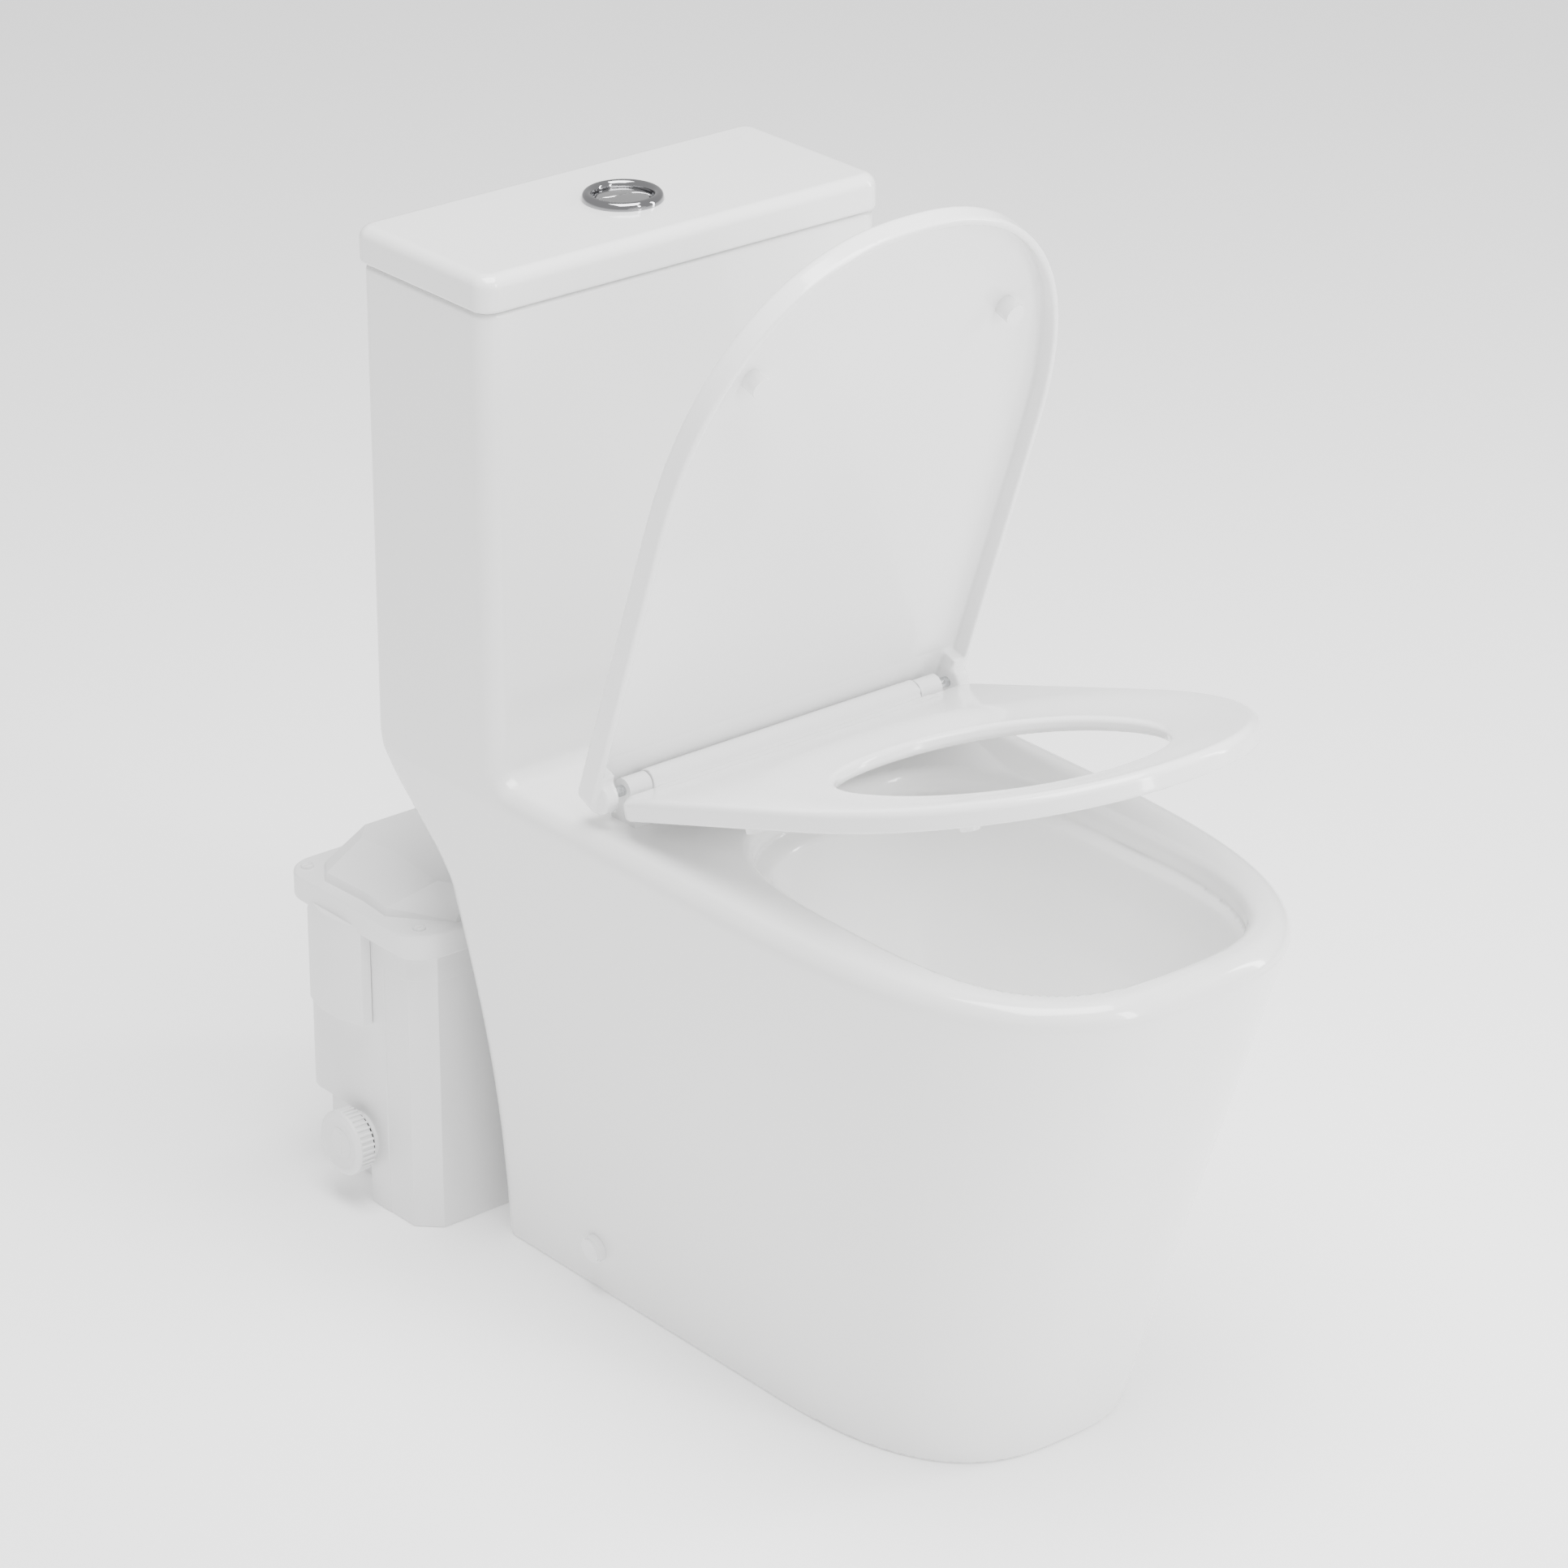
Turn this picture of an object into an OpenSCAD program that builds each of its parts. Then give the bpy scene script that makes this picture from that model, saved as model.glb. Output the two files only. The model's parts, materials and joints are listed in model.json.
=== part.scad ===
// Close coupled toilet with a one-piece pan and cistern, a soft-close seat and a rear macerator.
// The front of the pan faces -Y, +Z is up, and the floor is at z = 0. All sizes are in millimetres.

/* [Pan] */
// Height of the rim above the floor
rim_z = 420; // [415:1:425]
// Half-width of the pan at the rim
rim_half_w = 181; // [178:0.5:182]
// Half-width of the pan at the floor
foot_half_w = 121; // [115:1:128]
// Front of the rim, measured along Y
rim_front_y = -418; // [-430:1:-412]
// Front of the foot, measured along Y
foot_front_y = -286; // [-300:1:-275]
// Thickness of the pan's outer wall
pan_wall = 13; // [11:0.5:15]
// Radius of the soft edge round the top of the rim
rim_edge_r = 16; // [12:1:18]

/* [Cistern] */
// Front face of the cistern
cistern_front_y = 137.5; // [136:0.5:140]
// Back face of the cistern
cistern_back_y = 289; // [287:0.5:291]
// Height of the cistern's top edge
cistern_top_z = 780; // [770:1:790]
// Thickness of the cistern wall
cistern_wall = 10; // [9:0.5:11]
// Thickness of the cistern lid at its edge
lid_h = 28; // [26:1:30]

/* [Seat] */
// How far the seat is raised from the rim
seat_angle = 17.5; // [5:0.5:25]
// How far the cover is raised from the rim
cover_angle = 70.3; // [65:0.1:75]
// Half-width of the seat
seat_half_w = 165; // [163:0.5:165.5]
// Distance from the hinge axis to the front of the seat
seat_reach = 444; // [440:1:446]
// Half-width of the cover
cover_half_w = 174; // [173.5:0.5:176]
// Distance from the hinge axis to the front of the cover
cover_reach = 463; // [460:1:465]

/* [Macerator] */
// Half-width of the macerator's case
case_half_w = 172; // [170:0.5:173]
// Front face of the macerator's case
case_front_y = 251.5; // [250:0.5:253]
// Back face of the macerator's case
case_back_y = 408; // [404:1:410]
// Height of the case under its lid
case_top_z = 234; // [230:1:236]
// Wall of the macerator's case
case_wall = 4; // [3:0.5:5]

/* [Hidden] */

ceramic_colour = [0.93, 0.93, 0.93];
plastic_colour = [0.95, 0.95, 0.95];
grey_colour = [0.60, 0.62, 0.64];
rubber_colour = [0.12, 0.12, 0.12];
chrome_colour = [0.75, 0.77, 0.80];
brass_colour = [0.78, 0.62, 0.30];
steel_colour = [0.62, 0.63, 0.65];

// Gaps: between parts that move, and all round a shaft that turns in a hole
gap = 0.3;
run = 0.05;

// Pan: where the straight side ends, and the shape of the curved front
side_end_rim = -150;
side_end_foot = -92;
front_power = 2.8;
front_taper = 0.06;
back_flare_z = 300;
back_y = 222;
back_hollow = 12;
back_corner_r = 12;
hollow_top = 400;
pan_split_y = -12;
channel_front_y = -36;
channel_end_y = 207;
cistern_split_z = 424;
// Bowl stations: height, half-width, half-length and centre along Y
bowl = [[186, 34, 40, -128], [208, 44, 54, -134], [238, 60, 80, -150], [278, 82, 116, -176],
    [322, 102, 148, -198], [366, 115, 167, -208], [398, 121, 175, -212], [403, 128, 181, -206],
    [412, 130, 182, -206], [418, 132.5, 184.5, -206], [421, 137, 189, -206]];
bowl_power = 3;
bowl_wall = 11;

// Trap: height of its crest and of the outlet
trap_r = 27;
trap_wall = 9;
bend_extra = 0.6;
crest_z = 305;
crest_y = 45;
outlet_z = 172;
outlet_r = 51;
outlet_end_y = 238;

// Cistern
cistern_half_w = 181;
cistern_corner_r = 15;
cistern_low_z = 405;
cistern_floor_z = 440;
lid_half_w = 182.5;
lid_front_y = 136;
lid_back_y = 294;
lid_edge_r = 9;
lid_top_z = cistern_top_z + lid_h;
lid_plate = 14;

// Flush button and valve
button_y = 212;
button_r = 21.3;
bezel_r = 30;
bezel_h = 6;
rod_x = 9;
rod_y = 7;
rod_r = 3;
rod_low_z = 741;
housing_floor_z = 770;
spring_r = 5.2;
spring_wire_r = 0.6;
spring_turns = 6;

// Fill valve
fill_x = 92;
fill_y = 178;
fill_shank_r = 12;
fill_tail_r = 10.4;

// Seat hinge
hinge_y = 32;
hinge_z = 445;
pin_r = 4;
bar_r = 10;
bar_half_w = 125;
post_in = 126;
post_out = 146;
cheek_in = 158;
deck_bolt_x = 77.5;
seat_top = -1.5;
seat_h = 16;
cover_top = 19;
cover_plate = 7;
cover_lip = 6;

// Floor fixing
fix_y = 96;
fix_z = 41;
bracket_x = 85;

// Macerator
case_low_z = 8;
skirt_low_z = 1;
case_chamfer = 17;
lid_over = 9;
lid_skirt_z = 255;
gasket_h = 2.5;
lid_screw_places = [[164, 261], [166, 403]];
recess_x = 164;
recess_y0 = 304;
recess_y1 = 388;
recess_z = 84;
duct_x = 103.5;
duct_y = 349;
duct_r = 85;
duct_half_l = 36;
duct_low_z = 157;
duct_h = 83;
cap_y = 332;
cap_z = 54;
cap_r = 26;
cap_out_x = 195;
cap_in_x = 178;
motor_y = 326;
motor_x = 60;
discharge_x = 33;
discharge_y = 384;
discharge_z = 30;
discharge_neck_z = 284;
discharge_top_z = 322;
valve_seat_z = 218;

// ---------- shared shapes ----------

function lerp(a, b, t) = a + (b - a) * t;
function spow(v, e) = sign(v) * pow(abs(v), e);
function smooth(t) = t * t * (3 - 2 * t);
function centre_of(ring) = [for (k = [0:2]) [for (p = ring) p[k]] * [for (p = ring) 1 / len(ring)]];

// A closed stack of rings with the same number of points each, lowest ring first
module loft(rings) {
    n = len(rings[0]);
    m = len(rings);
    sides = [for (i = [0:m - 2], j = [0:n - 1])
        let (a = i * n + j, b = i * n + (j + 1) % n)
        each [[a, a + n, b + n], [a, b + n, b]]];
    bottom = [for (j = [0:n - 1]) [j, (j + 1) % n, m * n]];
    top = [for (j = [0:n - 1]) [(m - 1) * n + (j + 1) % n, (m - 1) * n + j, m * n + 1]];
    points = concat([for (r = rings) each r], [centre_of(rings[0]), centre_of(rings[m - 1])]);
    polyhedron(points = points, faces = concat(bottom, sides, top));
}

// A rectangle centred on x = 0, from y0 to y1, with round corners
module round_rect(half_w, y0, y1, r) {
    translate([-half_w + r, y0]) square([2 * (half_w - r), y1 - y0]);
    translate([-half_w, y0 + r]) square([2 * half_w, y1 - y0 - 2 * r]);
    for (x = [-half_w + r, half_w - r], y = [y0 + r, y1 - r]) {
        translate([x, y]) circle(r, $fn = 40);
    }
}

// A tube or disc along Z
module ring(r_out, r_in, h) {
    difference() {
        cylinder(r = r_out, h = h, $fn = 64);
        translate([0, 0, -1]) cylinder(r = r_in, h = h + 2, $fn = 64);
    }
}

// A rod from p to q, both on the plane of constant x
module rod_yz(p, q, r) {
    d = q - p;
    translate(p) rotate([atan2(-d[1], d[2]), 0, 0]) cylinder(r = r, h = norm(d), $fn = 48);
}

module mirrored() {
    children();
    mirror([1, 0, 0]) children();
}

// Turns something made closed, with the hinge axis on X, to its angle and place
module on_hinge(angle) {
    translate([0, hinge_y, hinge_z]) rotate([-angle, 0, 0]) children();
}

// ---------- pan and cistern ----------

function wall_t(z) = z / (rim_z - rim_edge_r);
function pan_back(z) = z < back_flare_z
    ? back_y - back_hollow * sin(180 * z / back_flare_z)
    : lerp(back_y, cistern_back_y, smooth(min(1, (z - back_flare_z) / (rim_z - back_flare_z))));

// The pan's outline at height z, drawn in by inset, anticlockwise from the right-hand side
function pan_ring(z, inset, back) = let (
        t = min(1, wall_t(z)),
        w = lerp(foot_half_w, rim_half_w, t) - inset,
        y0 = lerp(side_end_foot, side_end_rim, t),
        front = lerp(foot_front_y, rim_front_y, t),
        l = y0 - front - inset,
        y1 = back - inset,
        r = back_corner_r)
    concat(
        [for (i = [0:5]) [w, lerp(y0, y1 - r, i / 5), z]],
        [for (a = [22.5:22.5:90]) [w - r + r * cos(a), y1 - r + r * sin(a), z]],
        [for (a = [90:22.5:157.5]) [r - w + r * cos(a), y1 - r + r * sin(a), z]],
        [for (i = [5:-1:0]) [-w, lerp(y0, y1 - r, i / 5), z]],
        [for (a = [187.5:7.5:352.5])
            let (s = pow(-sin(a), 2 / front_power))
            [w * (1 - front_taper * t * s) * spow(cos(a), 2 / front_power), y0 - l * s, z]]);

module pan_outside() {
    heights = [3, 60, 120, 180, 240, 300, 322, 344, 366, 388, rim_z - rim_edge_r];
    loft(concat(
        [pan_ring(0, 3, pan_back(0))],
        [for (z = heights) pan_ring(z, 0, pan_back(z))],
        [for (a = [22.5:22.5:90])
            let (z = rim_z - rim_edge_r * (1 - sin(a)))
            pan_ring(z, rim_edge_r * (1 - cos(a)), pan_back(z))]));
}

module pan_hollow() {
    loft([for (z = [-1, 90, 180, 290, hollow_top]) pan_ring(z, pan_wall, min(pan_back(z), back_y))]);
    translate([-80, 190, 62]) cube([160, 60, 226]);
}

function bowl_ring(s, grow) = [for (a = [0:9:351])
    [(s[1] + grow) * spow(cos(a), 2 / bowl_power),
        s[3] + (s[2] + grow) * spow(sin(a), 2 / bowl_power), s[0] - (grow > 0 ? 9 : 0)]];

module bowl_inside() {
    loft([for (s = bowl) bowl_ring(s, 0)]);
}

module bowl_shell() {
    loft([for (i = [0:6]) bowl_ring(bowl[i], bowl_wall)]);
    loft([for (z = [385, hollow_top + 4]) bowl_ring([z + 9, bowl[6][1], bowl[6][2], bowl[6][3]], bowl_wall)]);
}

module trap_tube(r, end_r, end_y) {
    rod_yz([0, -112, 205], [0, crest_y, crest_z], r);
    translate([0, crest_y, crest_z]) sphere(r + bend_extra, $fn = 48);
    rod_yz([0, crest_y, crest_z], [0, 120, outlet_z], r);
    translate([0, 120, outlet_z]) sphere(end_r + bend_extra, $fn = 48);
    rod_yz([0, 120, outlet_z], [0, end_y, outlet_z], end_r);
}

module flush_channel(side, low, high, r) {
    translate([-side, -46, low]) cube([2 * side, button_y + 46, high - low]);
    translate([0, button_y, low]) cylinder(r = r, h = high - low, $fn = 64);
}

// The ceramic is one fired piece, held here as four nodes that meet face to face on flat planes:
// the front and the back of the pan's shell, the bowl with its trap, and the cistern
module ceramic_holes() {
    bowl_inside();
    translate([0, 0, cistern_floor_z]) linear_extrude(400)
        round_rect(cistern_half_w - cistern_wall, cistern_front_y + cistern_wall,
            cistern_back_y - cistern_wall, 8);
    flush_channel(24, 384, 404, 32);
    translate([0, button_y, 395]) cylinder(r = 31, h = 60, $fn = 64);
    translate([fill_x, fill_y, 410]) cylinder(r = fill_shank_r + 0.5, h = 40, $fn = 48);
    translate([fill_x, fill_y, 320]) cylinder(r = 21, h = 106, $fn = 48);
    for (x = [-46, 46]) {
        translate([x, button_y, 424]) cylinder(r = 2.5, h = 30, $fn = 24);
    }
    for (x = [-deck_bolt_x, deck_bolt_x]) {
        translate([x, hinge_y, hollow_top - 20]) cylinder(r = 7, h = 50, $fn = 32);
    }
    mirrored() translate([100, fix_y, fix_z]) rotate([0, 90, 0]) cylinder(r = 6, h = 40, $fn = 32);
}

module cistern_block(low, high) {
    translate([0, 0, low]) linear_extrude(high - low)
        round_rect(cistern_half_w, cistern_front_y, cistern_back_y, cistern_corner_r);
}

module pan_shell() {
    difference() {
        union() {
            difference() {
                pan_outside();
                pan_hollow();
            }
            cistern_block(cistern_low_z, cistern_split_z);
        }
        ceramic_holes();
    }
}

module pan_front() {
    color(ceramic_colour) difference() {
        pan_shell();
        translate([-250, pan_split_y, -50]) cube([500, 400, 900]);
    }
}

module pan_back() {
    color(ceramic_colour) intersection() {
        pan_shell();
        translate([-250, pan_split_y, -50]) cube([500, 400, 900]);
    }
}

module bowl_and_trap() {
    color(ceramic_colour) difference() {
        union() {
            bowl_shell();
            trap_tube(trap_r + trap_wall, outlet_r, outlet_end_y);
            translate([-36, channel_front_y, 372])
                cube([72, channel_end_y - channel_front_y, hollow_top - 372]);
        }
        translate([-250, -500, hollow_top]) cube([500, 900, 100]);
        bowl_inside();
        trap_tube(trap_r, outlet_r - trap_wall, outlet_end_y + 5);
        flush_channel(24, 384, 404, 32);
    }
}

module cistern() {
    color(ceramic_colour) difference() {
        cistern_block(cistern_split_z, cistern_top_z);
        ceramic_holes();
    }
}

// ---------- cistern lid and flush buttons ----------

function lid_ring(z, inset) = let (r = max(cistern_corner_r - inset, 3), w = lid_half_w - inset,
        y0 = lid_front_y + inset, y1 = lid_back_y - inset)
    [for (c = [[1, 1, 0], [-1, 1, 90], [-1, -1, 180], [1, -1, 270]], a = [0:18:90])
        [c[0] * (w - r) + r * cos(a + c[2]), (c[1] > 0 ? y1 - r : y0 + r) + r * sin(a + c[2]), z]];

module cistern_lid() {
    color(ceramic_colour) difference() {
        union() {
            difference() {
                loft(concat([lid_ring(cistern_top_z, 2), lid_ring(cistern_top_z + 2, 0)],
                    [for (a = [0:22.5:90])
                        lid_ring(lid_top_z - lid_edge_r * (1 - sin(a)), lid_edge_r * (1 - cos(a)))]));
                translate([0, 0, cistern_top_z - 1]) linear_extrude(lid_h - lid_plate + 1)
                    round_rect(166, 152, 275, 6);
            }
            translate([0, 0, cistern_top_z - 9]) linear_extrude(lid_h - lid_plate + 10) difference() {
                round_rect(169.5, 149.5, 277, 6);
                round_rect(163, 156, 271, 4);
            }
        }
        translate([0, button_y, cistern_top_z - 5]) cylinder(r = 24.5, h = 50, $fn = 64);
    }
}

module button_bezel() {
    inner = button_r + 0.6;
    mid = (inner + bezel_r) / 2;
    half = (bezel_r - inner) / 2;
    color(chrome_colour) translate([0, button_y, lid_top_z]) rotate_extrude($fn = 96) difference() {
        translate([mid, 0]) scale([half / bezel_h, 1]) circle(bezel_h, $fn = 48);
        translate([0, -bezel_h - 1]) square([bezel_r + 5, bezel_h + 1]);
    }
}

module button_housing() {
    color(plastic_colour) translate([0, button_y, housing_floor_z]) difference() {
        union() {
            ring(24, button_r + 0.6, lid_top_z - housing_floor_z);
            cylinder(r = 24, h = 3, $fn = 64);
        }
        for (s = [-1, 1]) {
            translate([s * rod_x, s * rod_y, -1]) cylinder(r = rod_r + 0.3, h = 6, $fn = 32);
        }
    }
}

module button_nut() {
    color(plastic_colour) translate([0, button_y, lid_top_z - lid_plate - 8]) ring(33, 24, 8);
}

// Points of the S-shaped split across the button, from its back left to its front right
function split_curve(side) = [for (t = [-24:2:24])
    let (bend = 5 * sin(t * 180 / 24), o = side * gap / 2)
    [0.80 * t + 0.60 * (bend + o), -0.60 * t + 0.80 * (bend + o)]];

module button_half(side) {
    far = 60 * side;
    intersection() {
        translate([0, button_y, 800]) linear_extrude(11.5) intersection() {
            circle(button_r, $fn = 96);
            polygon(concat(split_curve(side), [[24 * 0.8 + 0.6 * far, -24 * 0.6 + 0.8 * far],
                [-24 * 0.8 + 0.6 * far, 24 * 0.6 + 0.8 * far]]));
        }
        translate([0, button_y, 800]) rotate_extrude($fn = 96) polygon([[0, 0], [button_r, 0],
            [button_r, 9.5], [button_r - 2, 11.5], [0, 11.5]]);
    }
}

module full_flush_button() {
    color(chrome_colour) button_half(-1);
}

module half_flush_button() {
    color(chrome_colour) button_half(1);
}

module push_rod(s) {
    color(grey_colour) translate([s * rod_x, button_y + s * rod_y, rod_low_z])
        cylinder(r = rod_r, h = 800 - rod_low_z, $fn = 32);
}

module full_push_rod() {
    push_rod(-1);
}

module half_push_rod() {
    push_rod(1);
}

// A coil spring between the housing's floor and the underside of a button
module button_spring(s) {
    low = housing_floor_z + 3.2 + spring_wire_r;
    high = 799.8 - spring_wire_r;
    steps = 10;
    n = spring_turns * steps;
    sides = 6;
    points = [for (i = [0:n], k = [0:sides - 1])
        let (a = i * 360 / steps, b = k * 360 / sides, r = spring_r + spring_wire_r * cos(b))
        [r * cos(a), r * sin(a), lerp(low, high, i / n) + spring_wire_r * sin(b)]];
    walls = [for (i = [0:n - 1], k = [0:sides - 1])
        let (p = i * sides + k, q = i * sides + (k + 1) % sides)
        each [[p, q, q + sides], [p, q + sides, p + sides]]];
    color(steel_colour) translate([s * rod_x, button_y + s * rod_y, 0])
        polyhedron(points = points, faces = concat([[for (k = [sides - 1:-1:0]) k]], walls,
            [[for (k = [0:sides - 1]) n * sides + k]]));
}

module full_button_spring() {
    button_spring(-1);
}

module half_button_spring() {
    button_spring(1);
}

// ---------- flush valve ----------

module flush_valve_base() {
    color(plastic_colour) translate([0, button_y, 0]) difference() {
        union() {
            translate([0, 0, cistern_floor_z + 3]) cylinder(r = 52, h = 6, $fn = 64);
            translate([0, 0, 412]) cylinder(r = 29, h = 41, $fn = 64);
        }
        translate([0, 0, 400]) cylinder(r = 25, h = 70, $fn = 64);
        for (x = [-46, 46]) {
            translate([x, 0, 430]) cylinder(r = 2.6, h = 30, $fn = 24);
        }
    }
}

module flush_valve_gasket() {
    color(rubber_colour) translate([0, button_y, cistern_floor_z]) difference() {
        ring(52, 29.2, 3);
        for (x = [-46, 46]) {
            translate([x, 0, -1]) cylinder(r = 2.7, h = 6, $fn = 24);
        }
    }
}

module flush_valve_screws() {
    for (x = [-46, 46]) {
        color(brass_colour) translate([x, button_y, cistern_floor_z - 14]) {
            cylinder(r = 2.4, h = 24, $fn = 24);
            translate([0, 0, 23]) cylinder(r = 4.5, h = 3, $fn = 24);
        }
    }
}

module flush_valve_tower() {
    low = cistern_floor_z + 9;
    color(plastic_colour) translate([0, button_y, 0]) {
        difference() {
            translate([0, 0, low]) ring(41, 38, 57);
            for (a = [0:60:120]) {
                translate([0, 0, low + 6]) rotate([0, 0, a]) translate([-50, -14, 0]) cube([100, 28, 38]);
            }
        }
        translate([0, 0, low + 55]) ring(41, 22.5, 4);
        translate([0, 0, low + 55]) ring(26, 23.5, 220);
        difference() {
            translate([0, 0, 724]) cylinder(r = 26, h = 20, $fn = 64);
            for (s = [-1, 1]) {
                translate([s * rod_x, s * rod_y, 730]) cylinder(r = rod_r + 0.6, h = 20, $fn = 32);
            }
        }
    }
}

module overflow_tube() {
    color(grey_colour) translate([0, button_y, 456.5]) {
        ring(19, 16, 240);
        ring(31, 16, 4);
    }
}

module valve_seal() {
    color(rubber_colour) translate([0, button_y, 453.3]) ring(31, 20, 3.2);
}

// ---------- fill valve ----------

module fill_valve_body() {
    color(plastic_colour) translate([fill_x, fill_y, 0]) {
        difference() {
            union() {
                translate([0, 0, 366]) cylinder(r = fill_tail_r, h = 50, $fn = 48);
                translate([0, 0, 412]) cylinder(r = fill_shank_r, h = 32, $fn = 48);
                translate([0, 0, cistern_floor_z + 3]) cylinder(r = 17, h = 4, $fn = 48);
                translate([0, 0, cistern_floor_z + 3]) cylinder(r = 11, h = 158, $fn = 48);
                translate([0, 0, 600]) cylinder(r = 19, h = 28, $fn = 48);
            }
            translate([0, 0, 360]) cylinder(r = 6, h = 230, $fn = 32);
        }
        for (y = [-6.7, 3.7]) {
            translate([11, y, 620]) cube([10, 3, 20]);
        }
        translate([16, -6.7, 634.5]) rotate([-90, 0, 0]) cylinder(r = 2, h = 13.4, $fn = 32);
    }
}

module fill_valve_float() {
    color(grey_colour) translate([fill_x, fill_y, 0]) {
        difference() {
            translate([0, 0, 500]) ring(27, 12, 62);
            translate([0, 0, 499]) ring(24.5, 14.5, 58);
        }
        translate([-24, 0, 560]) cylinder(r = 1.6, h = 68, $fn = 24);
    }
}

module fill_valve_lever() {
    color(plastic_colour) translate([fill_x, fill_y, 0]) difference() {
        union() {
            translate([-28, -3, 631.5]) cube([44, 6, 6]);
            translate([16, -3, 634.5]) rotate([-90, 0, 0]) cylinder(r = 5, h = 6, $fn = 32);
        }
        translate([16, -9, 634.5]) rotate([-90, 0, 0]) cylinder(r = 2 + run, h = 18, $fn = 32);
    }
}

module fill_valve_gasket() {
    color(rubber_colour) translate([fill_x, fill_y, cistern_floor_z]) ring(17, fill_shank_r + 0.1, 3);
}

module fill_valve_nut() {
    color(plastic_colour) translate([fill_x, fill_y, 417]) difference() {
        cylinder(r = 18, h = 9, $fn = 6);
        translate([0, 0, -1]) cylinder(r = fill_shank_r + 0.1, h = 12, $fn = 48);
    }
}

// ---------- seat and cover ----------

// Front curve of the seat or the cover, from its right side to its left, in the closed position
function front_curve(w, reach, centre, n, step) = [for (a = [0:-step:-180])
    [w * spow(cos(a), 2 / n), -centre - (reach - centre) * pow(-sin(a), 2 / n)]];

module seat_outline(inset) {
    w = seat_half_w - inset;
    r = 13 - inset;
    polygon(concat(
        front_curve(w, seat_reach - inset, 225, 2.25, 6),
        [for (a = [180:-22.5:90]) [-w + 3 + r + r * cos(a), -26 + r * sin(a)]],
        [[-128, -11 - inset], [128, -11 - inset]],
        [for (a = [90:-22.5:0]) [w - 3 - r + r * cos(a), -26 + r * sin(a)]]));
}

module seat_hole(grow) {
    polygon([for (a = [0:6:354])
        let (rear = sin(a) > 0)
        [(98 + grow) * spow(cos(a), 2 / 2.2),
            -238 + ((rear ? 112 : 138) + grow) * spow(sin(a), 2 / (rear ? 2.0 : 2.1))]]);
}

module seat_ring() {
    color(plastic_colour) on_hinge(seat_angle) difference() {
        union() {
            translate([0, 0, seat_top - seat_h]) linear_extrude(seat_h - 2.5) difference() {
                seat_outline(0);
                seat_hole(0);
            }
            translate([0, 0, seat_top - 2.6]) linear_extrude(2.6) difference() {
                seat_outline(2.5);
                seat_hole(2.5);
            }
            translate([-bar_half_w, 0, 0]) rotate([0, 90, 0])
                cylinder(r = bar_r, h = 2 * bar_half_w, $fn = 48);
            translate([-bar_half_w, -18, seat_top - seat_h + 3]) cube([2 * bar_half_w, 18, 13]);
        }
        mirrored() translate([74, 0, 0]) rotate([0, 90, 0]) cylinder(r = 6.5, h = 60, $fn = 40);
    }
}

module seat_buffers() {
    foot = hinge_z + seat_top - seat_h - rim_z - gap;
    color(plastic_colour) on_hinge(seat_angle) mirrored() {
        for (p = [[146, -150], [112, -345]]) {
            translate([p[0], p[1], seat_top - seat_h - foot]) cylinder(r = 7, h = foot, $fn = 32);
        }
    }
}

module cover_outline(inset) {
    w = cover_half_w - inset;
    polygon(concat(
        front_curve(w, cover_reach - inset, 232, 2.3, 5),
        [[-w + 4, -4 - inset], [-w + 10, 14 - inset], [w - 10, 14 - inset], [w - 4, -4 - inset]]));
}

module seat_cover() {
    low = seat_top + 0.5;
    under = cover_top - cover_plate;
    color(plastic_colour) on_hinge(cover_angle) difference() {
        union() {
            difference() {
                union() {
                    translate([0, 0, low]) linear_extrude(cover_top - 3 - low) cover_outline(0);
                    translate([0, 0, cover_top - 3.1]) linear_extrude(3.1) cover_outline(3);
                }
                translate([0, 0, low - 1]) linear_extrude(under - low + 1) intersection() {
                    cover_outline(cover_lip);
                    translate([-200, -500]) square([400, 480]);
                }
                translate([-cheek_in, -21, low - 1]) cube([2 * cheek_in, 50, under - low + 1]);
            }
            mirrored() translate([cheek_in, 0, 0]) rotate([0, 90, 0]) cylinder(r = 13, h = 12, $fn = 48);
        }
        mirrored() translate([cheek_in - 1, 0, 0]) rotate([0, 90, 0])
            cylinder(r = pin_r + run, h = 9, $fn = 40);
        translate([-200, 12.4, low - 8]) cube([400, 20, 40]);
        translate([-200, -1, -40]) cube([400, 40, 28]);
    }
}

module cover_buffers() {
    foot = cover_top - cover_plate - seat_top - gap;
    color(plastic_colour) on_hinge(cover_angle) mirrored() {
        translate([114, -353, cover_top - cover_plate - foot]) cylinder(r = 8, h = foot, $fn = 32);
    }
}

module hinge_posts() {
    color(plastic_colour) mirrored() difference() {
        union() {
            translate([post_in, hinge_y, hinge_z]) rotate([0, 90, 0])
                cylinder(r = 9, h = post_out - post_in, $fn = 48);
            translate([post_in, hinge_y - 9, rim_z]) cube([post_out - post_in, 18, hinge_z - rim_z]);
            translate([62, hinge_y - 14, rim_z]) cube([post_out - 62, 28, 4]);
        }
        translate([post_in - 1, hinge_y, hinge_z]) rotate([0, 90, 0]) cylinder(r = pin_r, h = 30, $fn = 40);
        translate([deck_bolt_x, hinge_y, rim_z - 1]) cylinder(r = 4, h = 6, $fn = 32);
    }
}

module hinge_pins() {
    color(steel_colour) mirrored() translate([92, hinge_y, hinge_z]) rotate([0, 90, 0])
        cylinder(r = pin_r, h = 73, $fn = 40);
}

// Soft-close cartridges inside the ends of the seat's bar
module hinge_dampers() {
    color(grey_colour) on_hinge(seat_angle) mirrored() translate([76, 0, 0]) rotate([0, 90, 0]) difference() {
        cylinder(r = 6.4, h = 48, $fn = 40);
        translate([0, 0, 15]) cylinder(r = pin_r + run, h = 40, $fn = 40);
    }
}

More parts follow.
